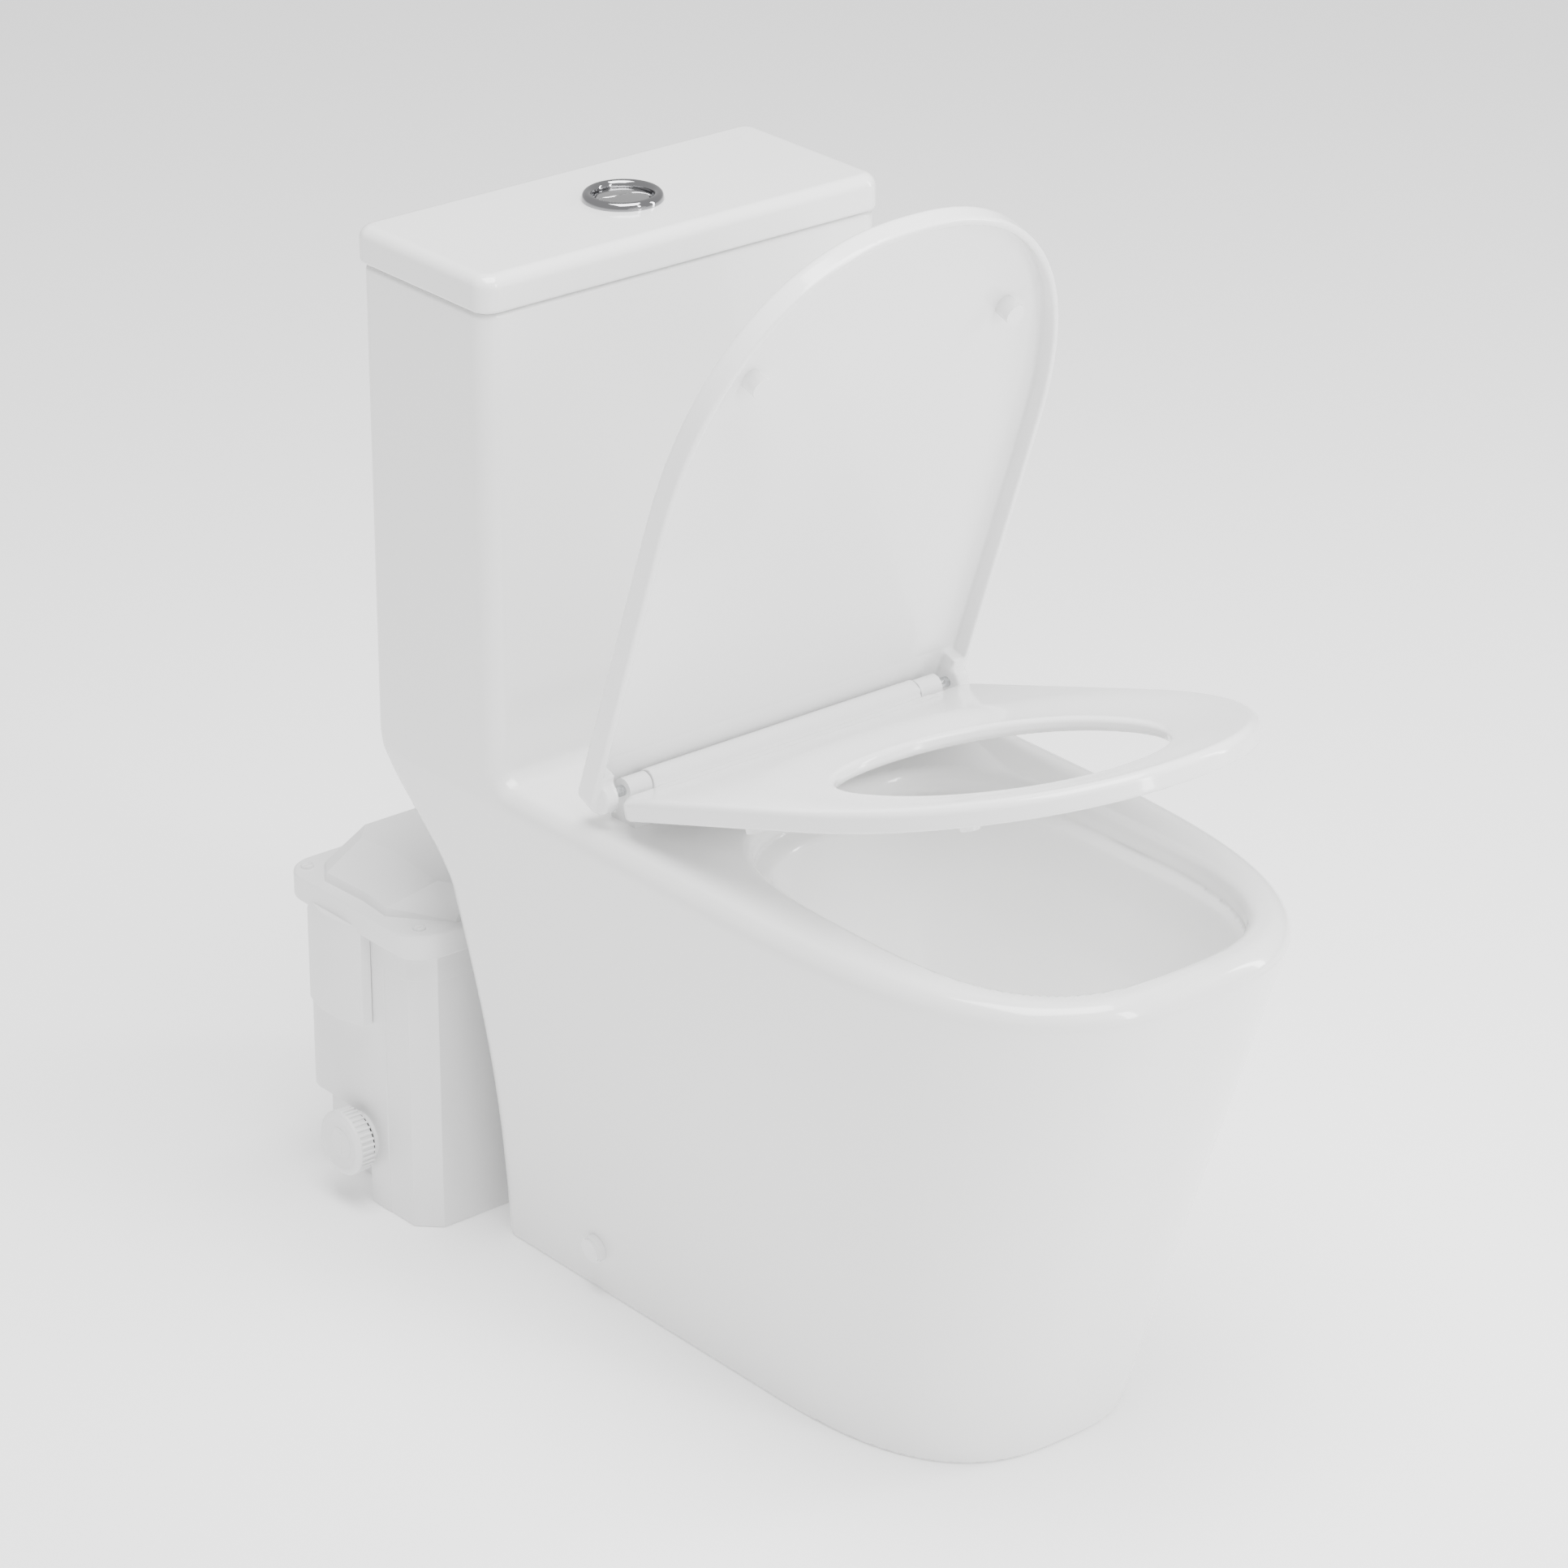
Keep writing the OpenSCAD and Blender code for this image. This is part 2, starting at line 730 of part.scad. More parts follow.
module hinge_bolts() {
    color(steel_colour) for (x = [-deck_bolt_x, deck_bolt_x]) {
        translate([x, hinge_y, 366]) cylinder(r = 3.9, h = 58.3, $fn = 32);
        translate([x, hinge_y, rim_z + 4]) cylinder(r = 7, h = 2.5, $fn = 32);
    }
}

module hinge_washers() {
    color(rubber_colour) for (x = [-deck_bolt_x, deck_bolt_x]) {
        translate([x, hinge_y, hollow_top - 5]) ring(11, 4, 5);
    }
}

module hinge_wing_nuts() {
    color(plastic_colour) for (x = [-deck_bolt_x, deck_bolt_x]) {
        translate([x, hinge_y, hollow_top - 15]) difference() {
            union() {
                cylinder(r = 8, h = 10, $fn = 32);
                translate([-17, -2, 0]) cube([34, 4, 8]);
            }
            translate([0, 0, -1]) cylinder(r = 3.95, h = 12, $fn = 32);
        }
    }
}

// ---------- floor fixing ----------

module bolt_caps() {
    lean = atan((rim_half_w - foot_half_w) / (rim_z - rim_edge_r));
    wall_x = lerp(foot_half_w, rim_half_w, wall_t(fix_z));
    color(plastic_colour) mirrored() translate([wall_x, fix_y, fix_z]) rotate([0, 90 + lean, 0]) {
        translate([0, 0, 0.1]) cylinder(r = 11, h = 5.4, $fn = 48);
        translate([0, 0, 5.4]) cylinder(r = 9.5, h = 2, $fn = 48);
        translate([0, 0, -6]) cylinder(r = 4.8, h = 7, $fn = 32);
    }
}

module side_screws() {
    color(steel_colour) mirrored() translate([0, fix_y, fix_z]) rotate([0, 90, 0]) {
        translate([0, 0, 92]) cylinder(r = 2.5, h = 26, $fn = 24);
        translate([0, 0, 117]) cylinder(r = 5, h = 3.5, $fn = 24);
    }
}

module floor_brackets() {
    color(plastic_colour) mirrored() difference() {
        union() {
            translate([66, fix_y - 22, 0]) cube([40, 44, 6]);
            translate([100, fix_y - 16, 0]) cube([6, 32, 58]);
            translate([72, fix_y - 2.5, 5]) cube([30, 5, 22]);
        }
        translate([98, fix_y, fix_z]) rotate([0, 90, 0]) cylinder(r = 2.6, h = 12, $fn = 24);
        for (y = [fix_y - 14, fix_y + 14]) {
            translate([bracket_x, y, -1]) cylinder(r = 3.5, h = 8, $fn = 32);
        }
    }
}

// ---------- macerator ----------

module case_outline(inset) {
    w = case_half_w - inset;
    y0 = case_front_y + inset;
    y1 = case_back_y - inset;
    c = case_chamfer - 0.4 * inset;
    r = 18 - inset;
    polygon(concat([[w, y0 + c], [w, y1 - r]],
        [for (a = [15:15:90]) [w - r + r * cos(a), y1 - r + r * sin(a)]],
        [for (a = [90:15:165]) [r - w + r * cos(a), y1 - r + r * sin(a)]],
        [[-w, y1 - r], [-w, y0 + c], [c - w, y0], [w - c, y0]]));
}

// The sides fall back below the side inlets to make room for their caps
module side_recess() {
    mirrored() translate([recess_x, recess_y0, -1]) cube([30, recess_y1 - recess_y0, recess_z + 1]);
}

module macerator_case() {
    color(plastic_colour) difference() {
        union() {
            translate([0, 0, case_low_z]) linear_extrude(case_top_z - case_low_z) case_outline(1.2);
            translate([0, 0, 210]) linear_extrude(case_top_z - 210) case_outline(0);
            mirrored() translate([case_half_w - 3, 300, case_low_z])
                cube([3, 84, case_top_z - case_low_z - 20]);
            mirrored() for (p = lid_screw_places) {
                translate([p[0], p[1], case_top_z - 8]) cylinder(r = 5, h = 8, $fn = 32);
            }
            translate([0, 0, skirt_low_z]) linear_extrude(case_low_z) difference() {
                case_outline(1.2);
                case_outline(case_wall + 1);
            }
        }
        difference() {
            translate([0, 0, case_low_z + case_wall]) linear_extrude(300) case_outline(case_wall + 1);
            mirrored() translate([recess_x - case_wall, recess_y0 - case_wall, 0])
                cube([40, recess_y1 - recess_y0 + 2 * case_wall, recess_z + case_wall]);
        }
        mirrored() for (p = lid_screw_places) {
            translate([p[0], p[1], case_top_z - 7]) cylinder(r = 2.5, h = 10, $fn = 24);
        }
        side_recess();
        mirrored() translate([150, cap_y, cap_z]) rotate([0, 90, 0]) cylinder(r = 18, h = 40, $fn = 48);
        translate([0, case_front_y - 5, outlet_z]) rotate([-90, 0, 0]) cylinder(r = 56, h = 20, $fn = 64);
        translate([108, case_back_y - 12, 150]) rotate([-90, 0, 0]) cylinder(r = 9.5, h = 20, $fn = 48);
    }
    color(plastic_colour) mirrored() translate([150, cap_y, cap_z]) rotate([0, 90, 0]) ring(20, 18, 25);
}

module lid_outline(half_w, y0, y1, r_front, r_back) {
    polygon(concat(
        [for (a = [0:15:90]) [half_w - r_back + r_back * cos(a), y1 - r_back + r_back * sin(a)]],
        [for (a = [90:15:180]) [r_back - half_w + r_back * cos(a), y1 - r_back + r_back * sin(a)]],
        [for (a = [180:15:270]) [r_front - half_w + r_front * cos(a), y0 + r_front + r_front * sin(a)]],
        [for (a = [270:15:360]) [half_w - r_front + r_front * cos(a), y0 + r_front + r_front * sin(a)]]));
}

// The raised middle of the lid: a broad low step, then sloped faces up to a flat top
function rise_ring(z, w, y0, y1, cut) = [[w, y0 + cut, z], [w * 0.96, (y0 + y1) / 2, z], [w, y1 - cut, z],
    [w - cut, y1, z], [cut - w, y1, z], [-w, y1 - cut, z], [-w * 0.96, (y0 + y1) / 2, z], [-w, y0 + cut, z],
    [cut - w, y0, z], [w - cut, y0, z]];

module macerator_lid() {
    color(plastic_colour) difference() {
        union() {
            translate([0, 0, case_top_z]) linear_extrude(lid_skirt_z - case_top_z)
                lid_outline(case_half_w + lid_over, 244, 418, 26, 26);
            loft([rise_ring(lid_skirt_z - 1, 171.5, 252, 404, 40), rise_ring(262, 170, 254, 402, 40),
                rise_ring(280, 134, 258, 393, 18)]);
        }
        translate([0, 0, case_top_z - 1]) linear_extrude(lid_skirt_z - case_top_z - 4)
            case_outline(case_wall);
        translate([0, 0, case_top_z - 1]) linear_extrude(gasket_h + 1) case_outline(1);
        translate([0, 0, 250]) loft([rise_ring(0, 161, 264, 394, 38), rise_ring(9, 159, 265, 392, 38),
            rise_ring(26, 127, 268, 386, 18)]);
        mirrored() for (p = lid_screw_places) {
            translate([p[0], p[1], 250]) cylinder(r = 4.6, h = 10, $fn = 32);
            translate([p[0], p[1], case_top_z - 1]) cylinder(r = 2.5, h = 20, $fn = 24);
        }
        mirrored() intersection() {
            translate([duct_x, duct_y, case_top_z - 1]) cylinder(r = duct_r + gap, h = 7.3, $fn = 96);
            translate([case_half_w, duct_y - duct_half_l - gap, 0]) cube([60, 2 * (duct_half_l + gap), 400]);
        }
        translate([discharge_x, discharge_y, case_top_z]) cylinder(r = 18, h = 60, $fn = 48);
    }
}

module lid_gasket() {
    color(rubber_colour) translate([0, 0, case_top_z]) linear_extrude(gasket_h) difference() {
        case_outline(1);
        case_outline(case_wall);
        mirrored() for (p = lid_screw_places) {
            translate(p) circle(2.6, $fn = 24);
        }
    }
}

module lid_screws() {
    color(plastic_colour) mirrored() for (p = lid_screw_places) {
        translate([p[0], p[1], 251]) ring(4.4, 1.6, 4.6);
        translate([p[0], p[1], case_top_z - 6]) cylinder(r = 2.4, h = 19, $fn = 24);
    }
}

module side_ducts() {
    inner_x = case_half_w + 0.2;
    color(plastic_colour) mirrored() intersection() {
        translate([duct_x, duct_y, duct_low_z]) difference() {
            cylinder(r = duct_r, h = duct_h, $fn = 96);
            translate([0, 0, -1]) intersection() {
                cylinder(r = duct_r - 3, h = duct_h - 2, $fn = 96);
                translate([0, 3 - duct_half_l, 0]) cube([200, 2 * duct_half_l - 6, 200]);
            }
        }
        translate([inner_x, duct_y - duct_half_l, 0]) cube([60, 2 * duct_half_l, 400]);
    }
}

module inlet_cap(side) {
    ribs = 28;
    color(plastic_colour) mirror([side < 0 ? 1 : 0, 0, 0]) translate([0, cap_y, cap_z]) rotate([0, 90, 0]) {
        translate([0, 0, cap_in_x]) cylinder(r = cap_r - 1, h = cap_out_x - cap_in_x - 2, $fn = 64);
        translate([0, 0, cap_in_x + 12]) cylinder(r = cap_r - 3, h = cap_out_x - cap_in_x - 12, $fn = 64);
        for (i = [0:ribs - 1]) {
            rotate([0, 0, (i + 0.5) * 360 / ribs]) translate([cap_r - 3, -1, cap_in_x]) cube([3, 2, 13]);
        }
        translate([0, 0, cap_in_x - 10]) cylinder(r = 17.6, h = 11, $fn = 48);
    }
}

module left_inlet_cap() {
    inlet_cap(-1);
}

module right_inlet_cap() {
    inlet_cap(1);
}

module inlet_cap_seals() {
    color(rubber_colour) mirrored() translate([cap_in_x - 2.7, cap_y, cap_z]) rotate([0, 90, 0])
        ring(20, 18, 2.4);
}

module inlet_boot() {
    color(rubber_colour) translate([0, 0, outlet_z]) rotate([-90, 0, 0]) {
        translate([0, 0, 212]) ring(55.5, outlet_r + 0.1, 44);
        translate([0, 0, 247]) ring(61, 55, 4);
    }
}

module boot_clips() {
    color(steel_colour) translate([0, 218, outlet_z]) rotate([-90, 0, 0]) ring(57, 55.6, 10);
}

module motor_housing() {
    color(grey_colour) translate([motor_x, motor_y, 0]) difference() {
        union() {
            translate([0, 0, 92]) cylinder(r = 40, h = 138, $fn = 64);
            translate([0, 0, 88]) cylinder(r = 44, h = 8, $fn = 64);
        }
        translate([0, 0, 80]) cylinder(r = 5 + run, h = 120, $fn = 40);
        translate([0, 0, 100]) cylinder(r = 35, h = 90, $fn = 64);
    }
}

module motor_shaft() {
    color(steel_colour) translate([motor_x, motor_y, 30]) {
        cylinder(r = 5, h = 165, $fn = 40);
        translate([0, 0, 84]) cylinder(r = 24, h = 60, $fn = 48);
    }
}

module grinder_blade() {
    color(steel_colour) translate([motor_x, motor_y, 66]) difference() {
        union() {
            cylinder(r = 10, h = 8, $fn = 40);
            for (a = [0, 180]) {
                rotate([0, 0, a]) translate([0, -5, 0]) cube([32, 10, 4]);
            }
        }
        translate([0, 0, -1]) cylinder(r = 5, h = 12, $fn = 40);
    }
}

module strainer_basket() {
    holes = 12;
    color(plastic_colour) translate([motor_x, motor_y, 46]) difference() {
        ring(40, 37, 42);
        for (i = [0:holes - 1], z = [10, 22, 34]) {
            rotate([0, 0, i * 360 / holes]) translate([30, 0, z]) rotate([0, 90, 0])
                cylinder(r = 4, h = 14, $fn = 20);
        }
    }
}

module pump_volute() {
    color(grey_colour) translate([motor_x, motor_y, case_low_z + case_wall]) difference() {
        union() {
            cylinder(r = 40, h = 34, $fn = 64);
            translate([discharge_x - motor_x, 0, 18]) rotate([-90, 0, 0]) cylinder(r = 12, h = 44, $fn = 40);
        }
        translate([0, 0, 8]) cylinder(r = 34, h = 20, $fn = 64);
        translate([0, 0, 22]) cylinder(r = 12, h = 20, $fn = 48);
        translate([discharge_x - motor_x, 10, 18]) rotate([-90, 0, 0]) cylinder(r = 8, h = 50, $fn = 40);
    }
}

module pump_impeller() {
    color(grey_colour) translate([motor_x, motor_y, 22]) difference() {
        union() {
            cylinder(r = 30, h = 3, $fn = 64);
            cylinder(r = 9, h = 14, $fn = 40);
            for (a = [0:60:300]) {
                rotate([0, 0, a]) translate([7, -1.5, 0]) cube([22, 3, 14]);
            }
        }
        translate([0, 0, 8]) cylinder(r = 5, h = 12, $fn = 40);
    }
}

module pressure_switch() {
    color(grey_colour) translate([-95, 340, 0]) {
        translate([0, 0, 168]) cylinder(r = 30, h = 14, $fn = 48);
        translate([-18, -14, 181]) cube([36, 28, 26]);
        difference() {
            translate([0, 0, case_low_z + case_wall]) ring(10, 7, 157);
            translate([-3, -15, case_low_z]) cube([6, 30, 20]);
        }
    }
}

// Discharge: up from the volute and out through the lid, ending in a plain spigot
module discharge_elbow() {
    color(plastic_colour) translate([discharge_x, discharge_y, 0]) difference() {
        union() {
            translate([0, -14, discharge_z]) rotate([-90, 0, 0]) cylinder(r = 12, h = 14, $fn = 40);
            translate([0, 0, discharge_z]) sphere(12, $fn = 40);
            translate([0, 0, discharge_z]) cylinder(r = 12, h = 190, $fn = 40);
            translate([0, 0, valve_seat_z - 4])
                cylinder(r = 17, h = discharge_neck_z - valve_seat_z + 4, $fn = 48);
            translate([0, 0, valve_seat_z]) cylinder(r = 16, h = discharge_top_z - valve_seat_z, $fn = 48);
        }
        translate([0, -20, discharge_z]) rotate([-90, 0, 0]) cylinder(r = 8, h = 20, $fn = 40);
        translate([0, 0, discharge_z]) sphere(8, $fn = 40);
        translate([0, 0, discharge_z]) cylinder(r = 8, h = valve_seat_z, $fn = 40);
        translate([0, 0, valve_seat_z]) cylinder(r = 13, h = 120, $fn = 48);
    }
}

module check_valve_flap() {
    color(rubber_colour) translate([discharge_x, discharge_y, valve_seat_z + 0.4]) {
        cylinder(r = 10.5, h = 2, $fn = 40);
        translate([11, -5, 1]) rotate([-90, 0, 0]) cylinder(r = 1, h = 10, $fn = 32);
    }
}

module discharge_clip() {
    color(steel_colour) translate([discharge_x, 364.5, discharge_z]) rotate([-90, 0, 0]) ring(14, 12.1, 7);
}

module cable_gland() {
    color(rubber_colour) translate([108, case_back_y - 8, 150]) rotate([-90, 0, 0]) difference() {
        union() {
            cylinder(r = 9.4, h = 8, $fn = 48);
            translate([0, 0, 7]) cylinder(r = 8, h = 3, $fn = 48);
        }
        translate([0, 0, -1]) cylinder(r = 4, h = 20, $fn = 32);
    }
}

module macerator_feet() {
    color(rubber_colour) mirrored() for (y = [280, 375]) {
        translate([130, y, 0]) cylinder(r = 12, h = case_low_z, $fn = 40);
    }
}

pan_front();
pan_back();
bowl_and_trap();
cistern();
cistern_lid();
button_bezel();
button_housing();
button_nut();
full_flush_button();
half_flush_button();
full_push_rod();
half_push_rod();
full_button_spring();
half_button_spring();
flush_valve_base();
flush_valve_gasket();
flush_valve_screws();
flush_valve_tower();
overflow_tube();
valve_seal();
fill_valve_body();
fill_valve_float();
fill_valve_lever();
fill_valve_gasket();
fill_valve_nut();
seat_ring();
seat_cover();
seat_buffers();
cover_buffers();
hinge_posts();
hinge_pins();
hinge_dampers();
hinge_bolts();
hinge_washers();
hinge_wing_nuts();
bolt_caps();
side_screws();
floor_brackets();
inlet_boot();
boot_clips();
macerator_case();
macerator_lid();
lid_gasket();
lid_screws();
side_ducts();
left_inlet_cap();
right_inlet_cap();
inlet_cap_seals();
motor_housing();
motor_shaft();
grinder_blade();
strainer_basket();
pump_volute();
pump_impeller();
pressure_switch();
discharge_elbow();
check_valve_flap();
discharge_clip();
cable_gland();
macerator_feet();
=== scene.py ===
"""Close coupled toilet with a rear macerator: the finished look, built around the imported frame.

Shapes are worked out in millimetres in the frame's own axes and stored in metres.
The ceramic, its lid, the buttons, the seat and the cover are surfaces of distance fields.
The macerator is built from outlines.
"""
import json
import math

import bmesh
import bpy
import numpy as np
from mathutils import Matrix, Vector


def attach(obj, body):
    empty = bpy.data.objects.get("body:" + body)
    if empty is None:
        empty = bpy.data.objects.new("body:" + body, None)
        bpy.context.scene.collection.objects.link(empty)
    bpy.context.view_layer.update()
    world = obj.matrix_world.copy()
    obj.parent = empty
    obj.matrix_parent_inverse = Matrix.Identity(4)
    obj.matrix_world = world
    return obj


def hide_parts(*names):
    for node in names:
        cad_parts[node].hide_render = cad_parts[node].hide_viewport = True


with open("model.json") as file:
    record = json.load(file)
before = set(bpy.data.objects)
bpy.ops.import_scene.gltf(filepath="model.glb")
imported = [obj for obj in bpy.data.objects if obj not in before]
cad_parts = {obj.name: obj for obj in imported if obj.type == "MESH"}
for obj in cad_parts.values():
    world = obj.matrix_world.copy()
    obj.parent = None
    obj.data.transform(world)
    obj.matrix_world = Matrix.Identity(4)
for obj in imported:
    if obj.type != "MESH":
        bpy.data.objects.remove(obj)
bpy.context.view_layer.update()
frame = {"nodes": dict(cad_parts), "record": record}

MM = 0.001


# ---------- camera ----------

CAMERA_PLACE = (-2.54447, -3.08365, 2.24904)
CAMERA_TURN = -39.26
CAMERA_PITCH = 24.6
CAMERA_ROLL = -0.1
CAMERA_LENS = 139.6


def add_camera():
    data = bpy.data.cameras.new("camera")
    data.lens = CAMERA_LENS
    data.sensor_width = 36.0
    data.clip_end = 50.0
    camera = bpy.data.objects.new("camera", data)
    bpy.context.scene.collection.objects.link(camera)
    turn, pitch, roll = (math.radians(a) for a in (CAMERA_TURN, 90.0 - CAMERA_PITCH, CAMERA_ROLL))
    facing = Matrix.Rotation(turn, 4, "Z") @ Matrix.Rotation(pitch, 4, "X") @ Matrix.Rotation(roll, 4, "Z")
    camera.matrix_world = Matrix.Translation(CAMERA_PLACE) @ facing
    bpy.context.scene.camera = camera


add_camera()


# ---------- sizes shared with the frame ----------

RIM_Z = 420.0
RIM_HALF_W = 181.0
FOOT_HALF_W = 121.0
RIM_FRONT_Y = -418.0
FOOT_FRONT_Y = -286.0
RIM_EDGE_R = 16.0
SIDE_END_RIM_Y = -150.0
SIDE_END_FOOT_Y = -92.0
FRONT_POWER = 2.8
FRONT_TAPER = 0.06
BACK_Y = 222.0
BACK_HOLLOW = 12.0
BACK_FLARE_Z = 300.0
PAN_WALL = 13.0
CISTERN_FRONT_Y = 137.5
CISTERN_BACK_Y = 289.0
CISTERN_TOP_Z = 780.0
CISTERN_FLOOR_Z = 440.0
CISTERN_WALL = 10.0
CISTERN_CORNER_R = 15.0
DECK_FILLET = 13.0
LID_TOP_Z = 808.0
BUTTON_Y = 212.0
HINGE_Y = 32.0
HINGE_Z = 445.0
SEAT_ANGLE = 17.5
COVER_ANGLE = 70.3
HOLLOW_TOP_Z = 400.0
BACK_WINDOW_LOW = (-80, 190, 62)
BACK_WINDOW_HIGH = (80, 260, 288)
OUTLET_Z = 172.0
OUTLET_R = 51.0
OUTLET_END_Y = 238.0
TRAP_START = (0, -112, 205)
TRAP_CREST = (0, 45, 305)
TRAP_BEND_Y = 120.0
TRAP_R = 27.0
TRAP_WALL = 9.0
BOWL_WALL = 11.0
# Bowl stations: height, half-width, half-length and centre along Y
BOWL = np.array([
    [180, 30, 36, -126], [190, 36, 44, -129], [208, 44, 54, -134], [238, 60, 80, -150],
    [278, 82, 116, -176], [322, 102, 148, -198], [366, 115, 167, -208], [397, 120.5, 175, -212],
    [401, 126.5, 181, -206], [412, 130, 182, -206], [430, 131, 183, -206]], dtype=float)
BOWL_POWER = 3.0


# ---------- distance fields: negative inside, in millimetres ----------

def meet(a, b, r):
    """Both a and b, with the edge between them rounded to radius r."""
    u, v = np.maximum(a + r, 0), np.maximum(b + r, 0)
    return np.minimum(np.maximum(a, b), -r) + np.sqrt(u * u + v * v)


def join(a, b, r):
    """Either a or b, with the corner between them filled to radius r."""
    return -meet(-a, -b, r)


def cut(a, b, r):
    """a without b, with the edge between them rounded to radius r."""
    return meet(a, -b, r)


def lerp(a, b, t):
    return a + (b - a) * t


def smooth(t):
    t = np.clip(t, 0, 1)
    return t * t * (3 - 2 * t)


def box_field(p, low, high, r=0.0):
    """A box from low to high whose edges have radius r."""
    low, high = np.array(low, float), np.array(high, float)
    centre, half = (low + high) / 2, (high - low) / 2 - r
    q = [np.abs(p[k] - centre[k]) - half[k] for k in range(3)]
    outside = np.sqrt(sum(np.maximum(v, 0) ** 2 for v in q))
    return outside + np.minimum(np.maximum(np.maximum(q[0], q[1]), q[2]), 0) - r


def capsule_field(p, a, b, r):
    """A round rod of radius r from a to b, with round ends."""
    a, b = np.array(a, float), np.array(b, float)
    d = b - a
    t = np.clip(sum((p[k] - a[k]) * d[k] for k in range(3)) / d.dot(d), 0, 1)
    return np.sqrt(sum((p[k] - a[k] - d[k] * t) ** 2 for k in range(3))) - r


def oval_field(x, y, half_w, half_l, power):
    """A flat superellipse about the origin, as a distance that is right close to its edge."""
    u = np.maximum(np.abs(x) / half_w, 1e-4)
    v = np.maximum(np.abs(y) / half_l, 1e-4)
    q = (u ** power + v ** power) ** (1 / power)
    slope = q ** (1 - power)
    gx = slope * u ** (power - 1) / half_w
    gy = slope * v ** (power - 1) / half_l
    return (q - 1) / np.sqrt(gx * gx + gy * gy)


# ---------- surfaces from distance fields ----------

def field_grid(field, low, high, step):
    axes = [np.arange(low[k] - 1.5 * step, high[k] + 2.5 * step, step, dtype=np.float32) for k in range(3)]
    p = np.meshgrid(*axes, indexing="ij", sparse=True)
    values = np.broadcast_to(field(p), [len(a) for a in axes]).astype(np.float32)
    return axes, values


def cell_corners(values):
    """The eight corners of every cell, as views of the grid."""
    n = values.shape
    return {(i, j, k): values[i:n[0] - 1 + i, j:n[1] - 1 + j, k:n[2] - 1 + k]
            for i in (0, 1) for j in (0, 1) for k in (0, 1)}


def net_vertices(axes, values, step):
    """One point in each cell that the surface crosses, at the mean of its edge crossings."""
    corners = cell_corners(values < 0)
    count = sum(c.astype(np.int8) for c in corners.values())
    active = (count > 0) & (count < 8)
    cells = np.argwhere(active)
    total = np.zeros((len(cells), 3))
    hits = np.zeros(len(cells))
    for axis in range(3):
        for i in (0, 1):
            for j in (0, 1):
                start = np.insert([i, j], axis, 0)
                end = np.insert([i, j], axis, 1)
                a = values[tuple((cells + start).T)]
                b = values[tuple((cells + end).T)]
                crossed = (a < 0) != (b < 0)
                t = np.where(crossed, a / np.where(crossed, a - b, 1), 0)
                point = start[None, :] + t[:, None] * (end - start)[None, :]
                total[crossed] += point[crossed]
                hits[crossed] += 1
    place = cells + total / hits[:, None]
    origin = np.array([a[0] for a in axes])
    index = np.full(active.shape, -1, dtype=np.int64)
    index[tuple(cells.T)] = np.arange(len(cells))
    return origin + place * step, index


def net_faces(values, index):
    """A quad round every grid edge that the surface crosses, turned to face outwards."""
    faces = []
    inside = values < 0
    for axis in range(3):
        u, v = (axis + 1) % 3, (axis + 2) % 3
        near = [slice(None)] * 3
        far = [slice(None)] * 3
        near[axis], far[axis] = slice(0, -1), slice(1, None)
        crossed = inside[tuple(near)] != inside[tuple(far)]
        edges = np.argwhere(crossed)
        edges = edges[(edges[:, u] > 0) & (edges[:, v] > 0)]
        step_u = np.eye(3, dtype=int)[u]
        step_v = np.eye(3, dtype=int)[v]
        ring = [edges - step_u - step_v, edges - step_v, edges, edges - step_u]
        quad = np.stack([index[tuple(r.T)] for r in ring], axis=1)
        starts_inside = inside[tuple(edges.T)]
        quad[~starts_inside] = quad[~starts_inside][:, ::-1]
        faces.append(quad)
    return np.concatenate(faces)


def field_slope(field, points, reach=0.25):
    """The gradient of the field at the points."""
    slope = np.zeros_like(points)
    for k in range(3):
        ends = []
        for side in (-reach, reach):
            moved = points.copy()
            moved[:, k] += side
            ends.append(field([moved[:, 0], moved[:, 1], moved[:, 2]]))
        slope[:, k] = (ends[1] - ends[0]) / (2 * reach)
    return slope


def new_piece(name, mesh):
    piece = bpy.data.objects.new(name, mesh)
    bpy.context.scene.collection.objects.link(piece)
    return piece


def sculpt(name, field, low, high, step, reach=0.25, place=None):
    """A smooth mesh on the zero surface of a field, inside the box from low to high, then moved by place."""
    axes, values = field_grid(field, low, high, step)
    points, index = net_vertices(axes, values, step)
    faces = net_faces(values, index)
    start = points.copy()
    for _ in range(4):
        slope = field_slope(field, points, reach)
        size = np.maximum((slope ** 2).sum(axis=1), 0.05)
        value = field([points[:, 0], points[:, 1], points[:, 2]])
        points = points - slope * (value / size)[:, None]
        moved = points - start
        length = np.maximum(np.linalg.norm(moved, axis=1), 1e-9)
        points = start + moved * np.minimum(1, 0.7 * step / length)[:, None]
    slope = field_slope(field, points, reach)
    normals = slope / np.maximum(np.linalg.norm(slope, axis=1), 1e-9)[:, None]
    if place is not None:
        turn = np.array(place.to_3x3())
        points = points @ turn.T + np.array(place.translation)
        normals = normals @ turn.T
    mesh = bpy.data.meshes.new(name)
    mesh.from_pydata((points * MM).tolist(), [], faces.tolist())
    mesh.polygons.foreach_set("use_smooth", [True] * len(mesh.polygons))
    mesh.update()
    mesh.normals_split_custom_set_from_vertices(normals.tolist())
    return new_piece(name, mesh)


# ---------- ceramic ----------

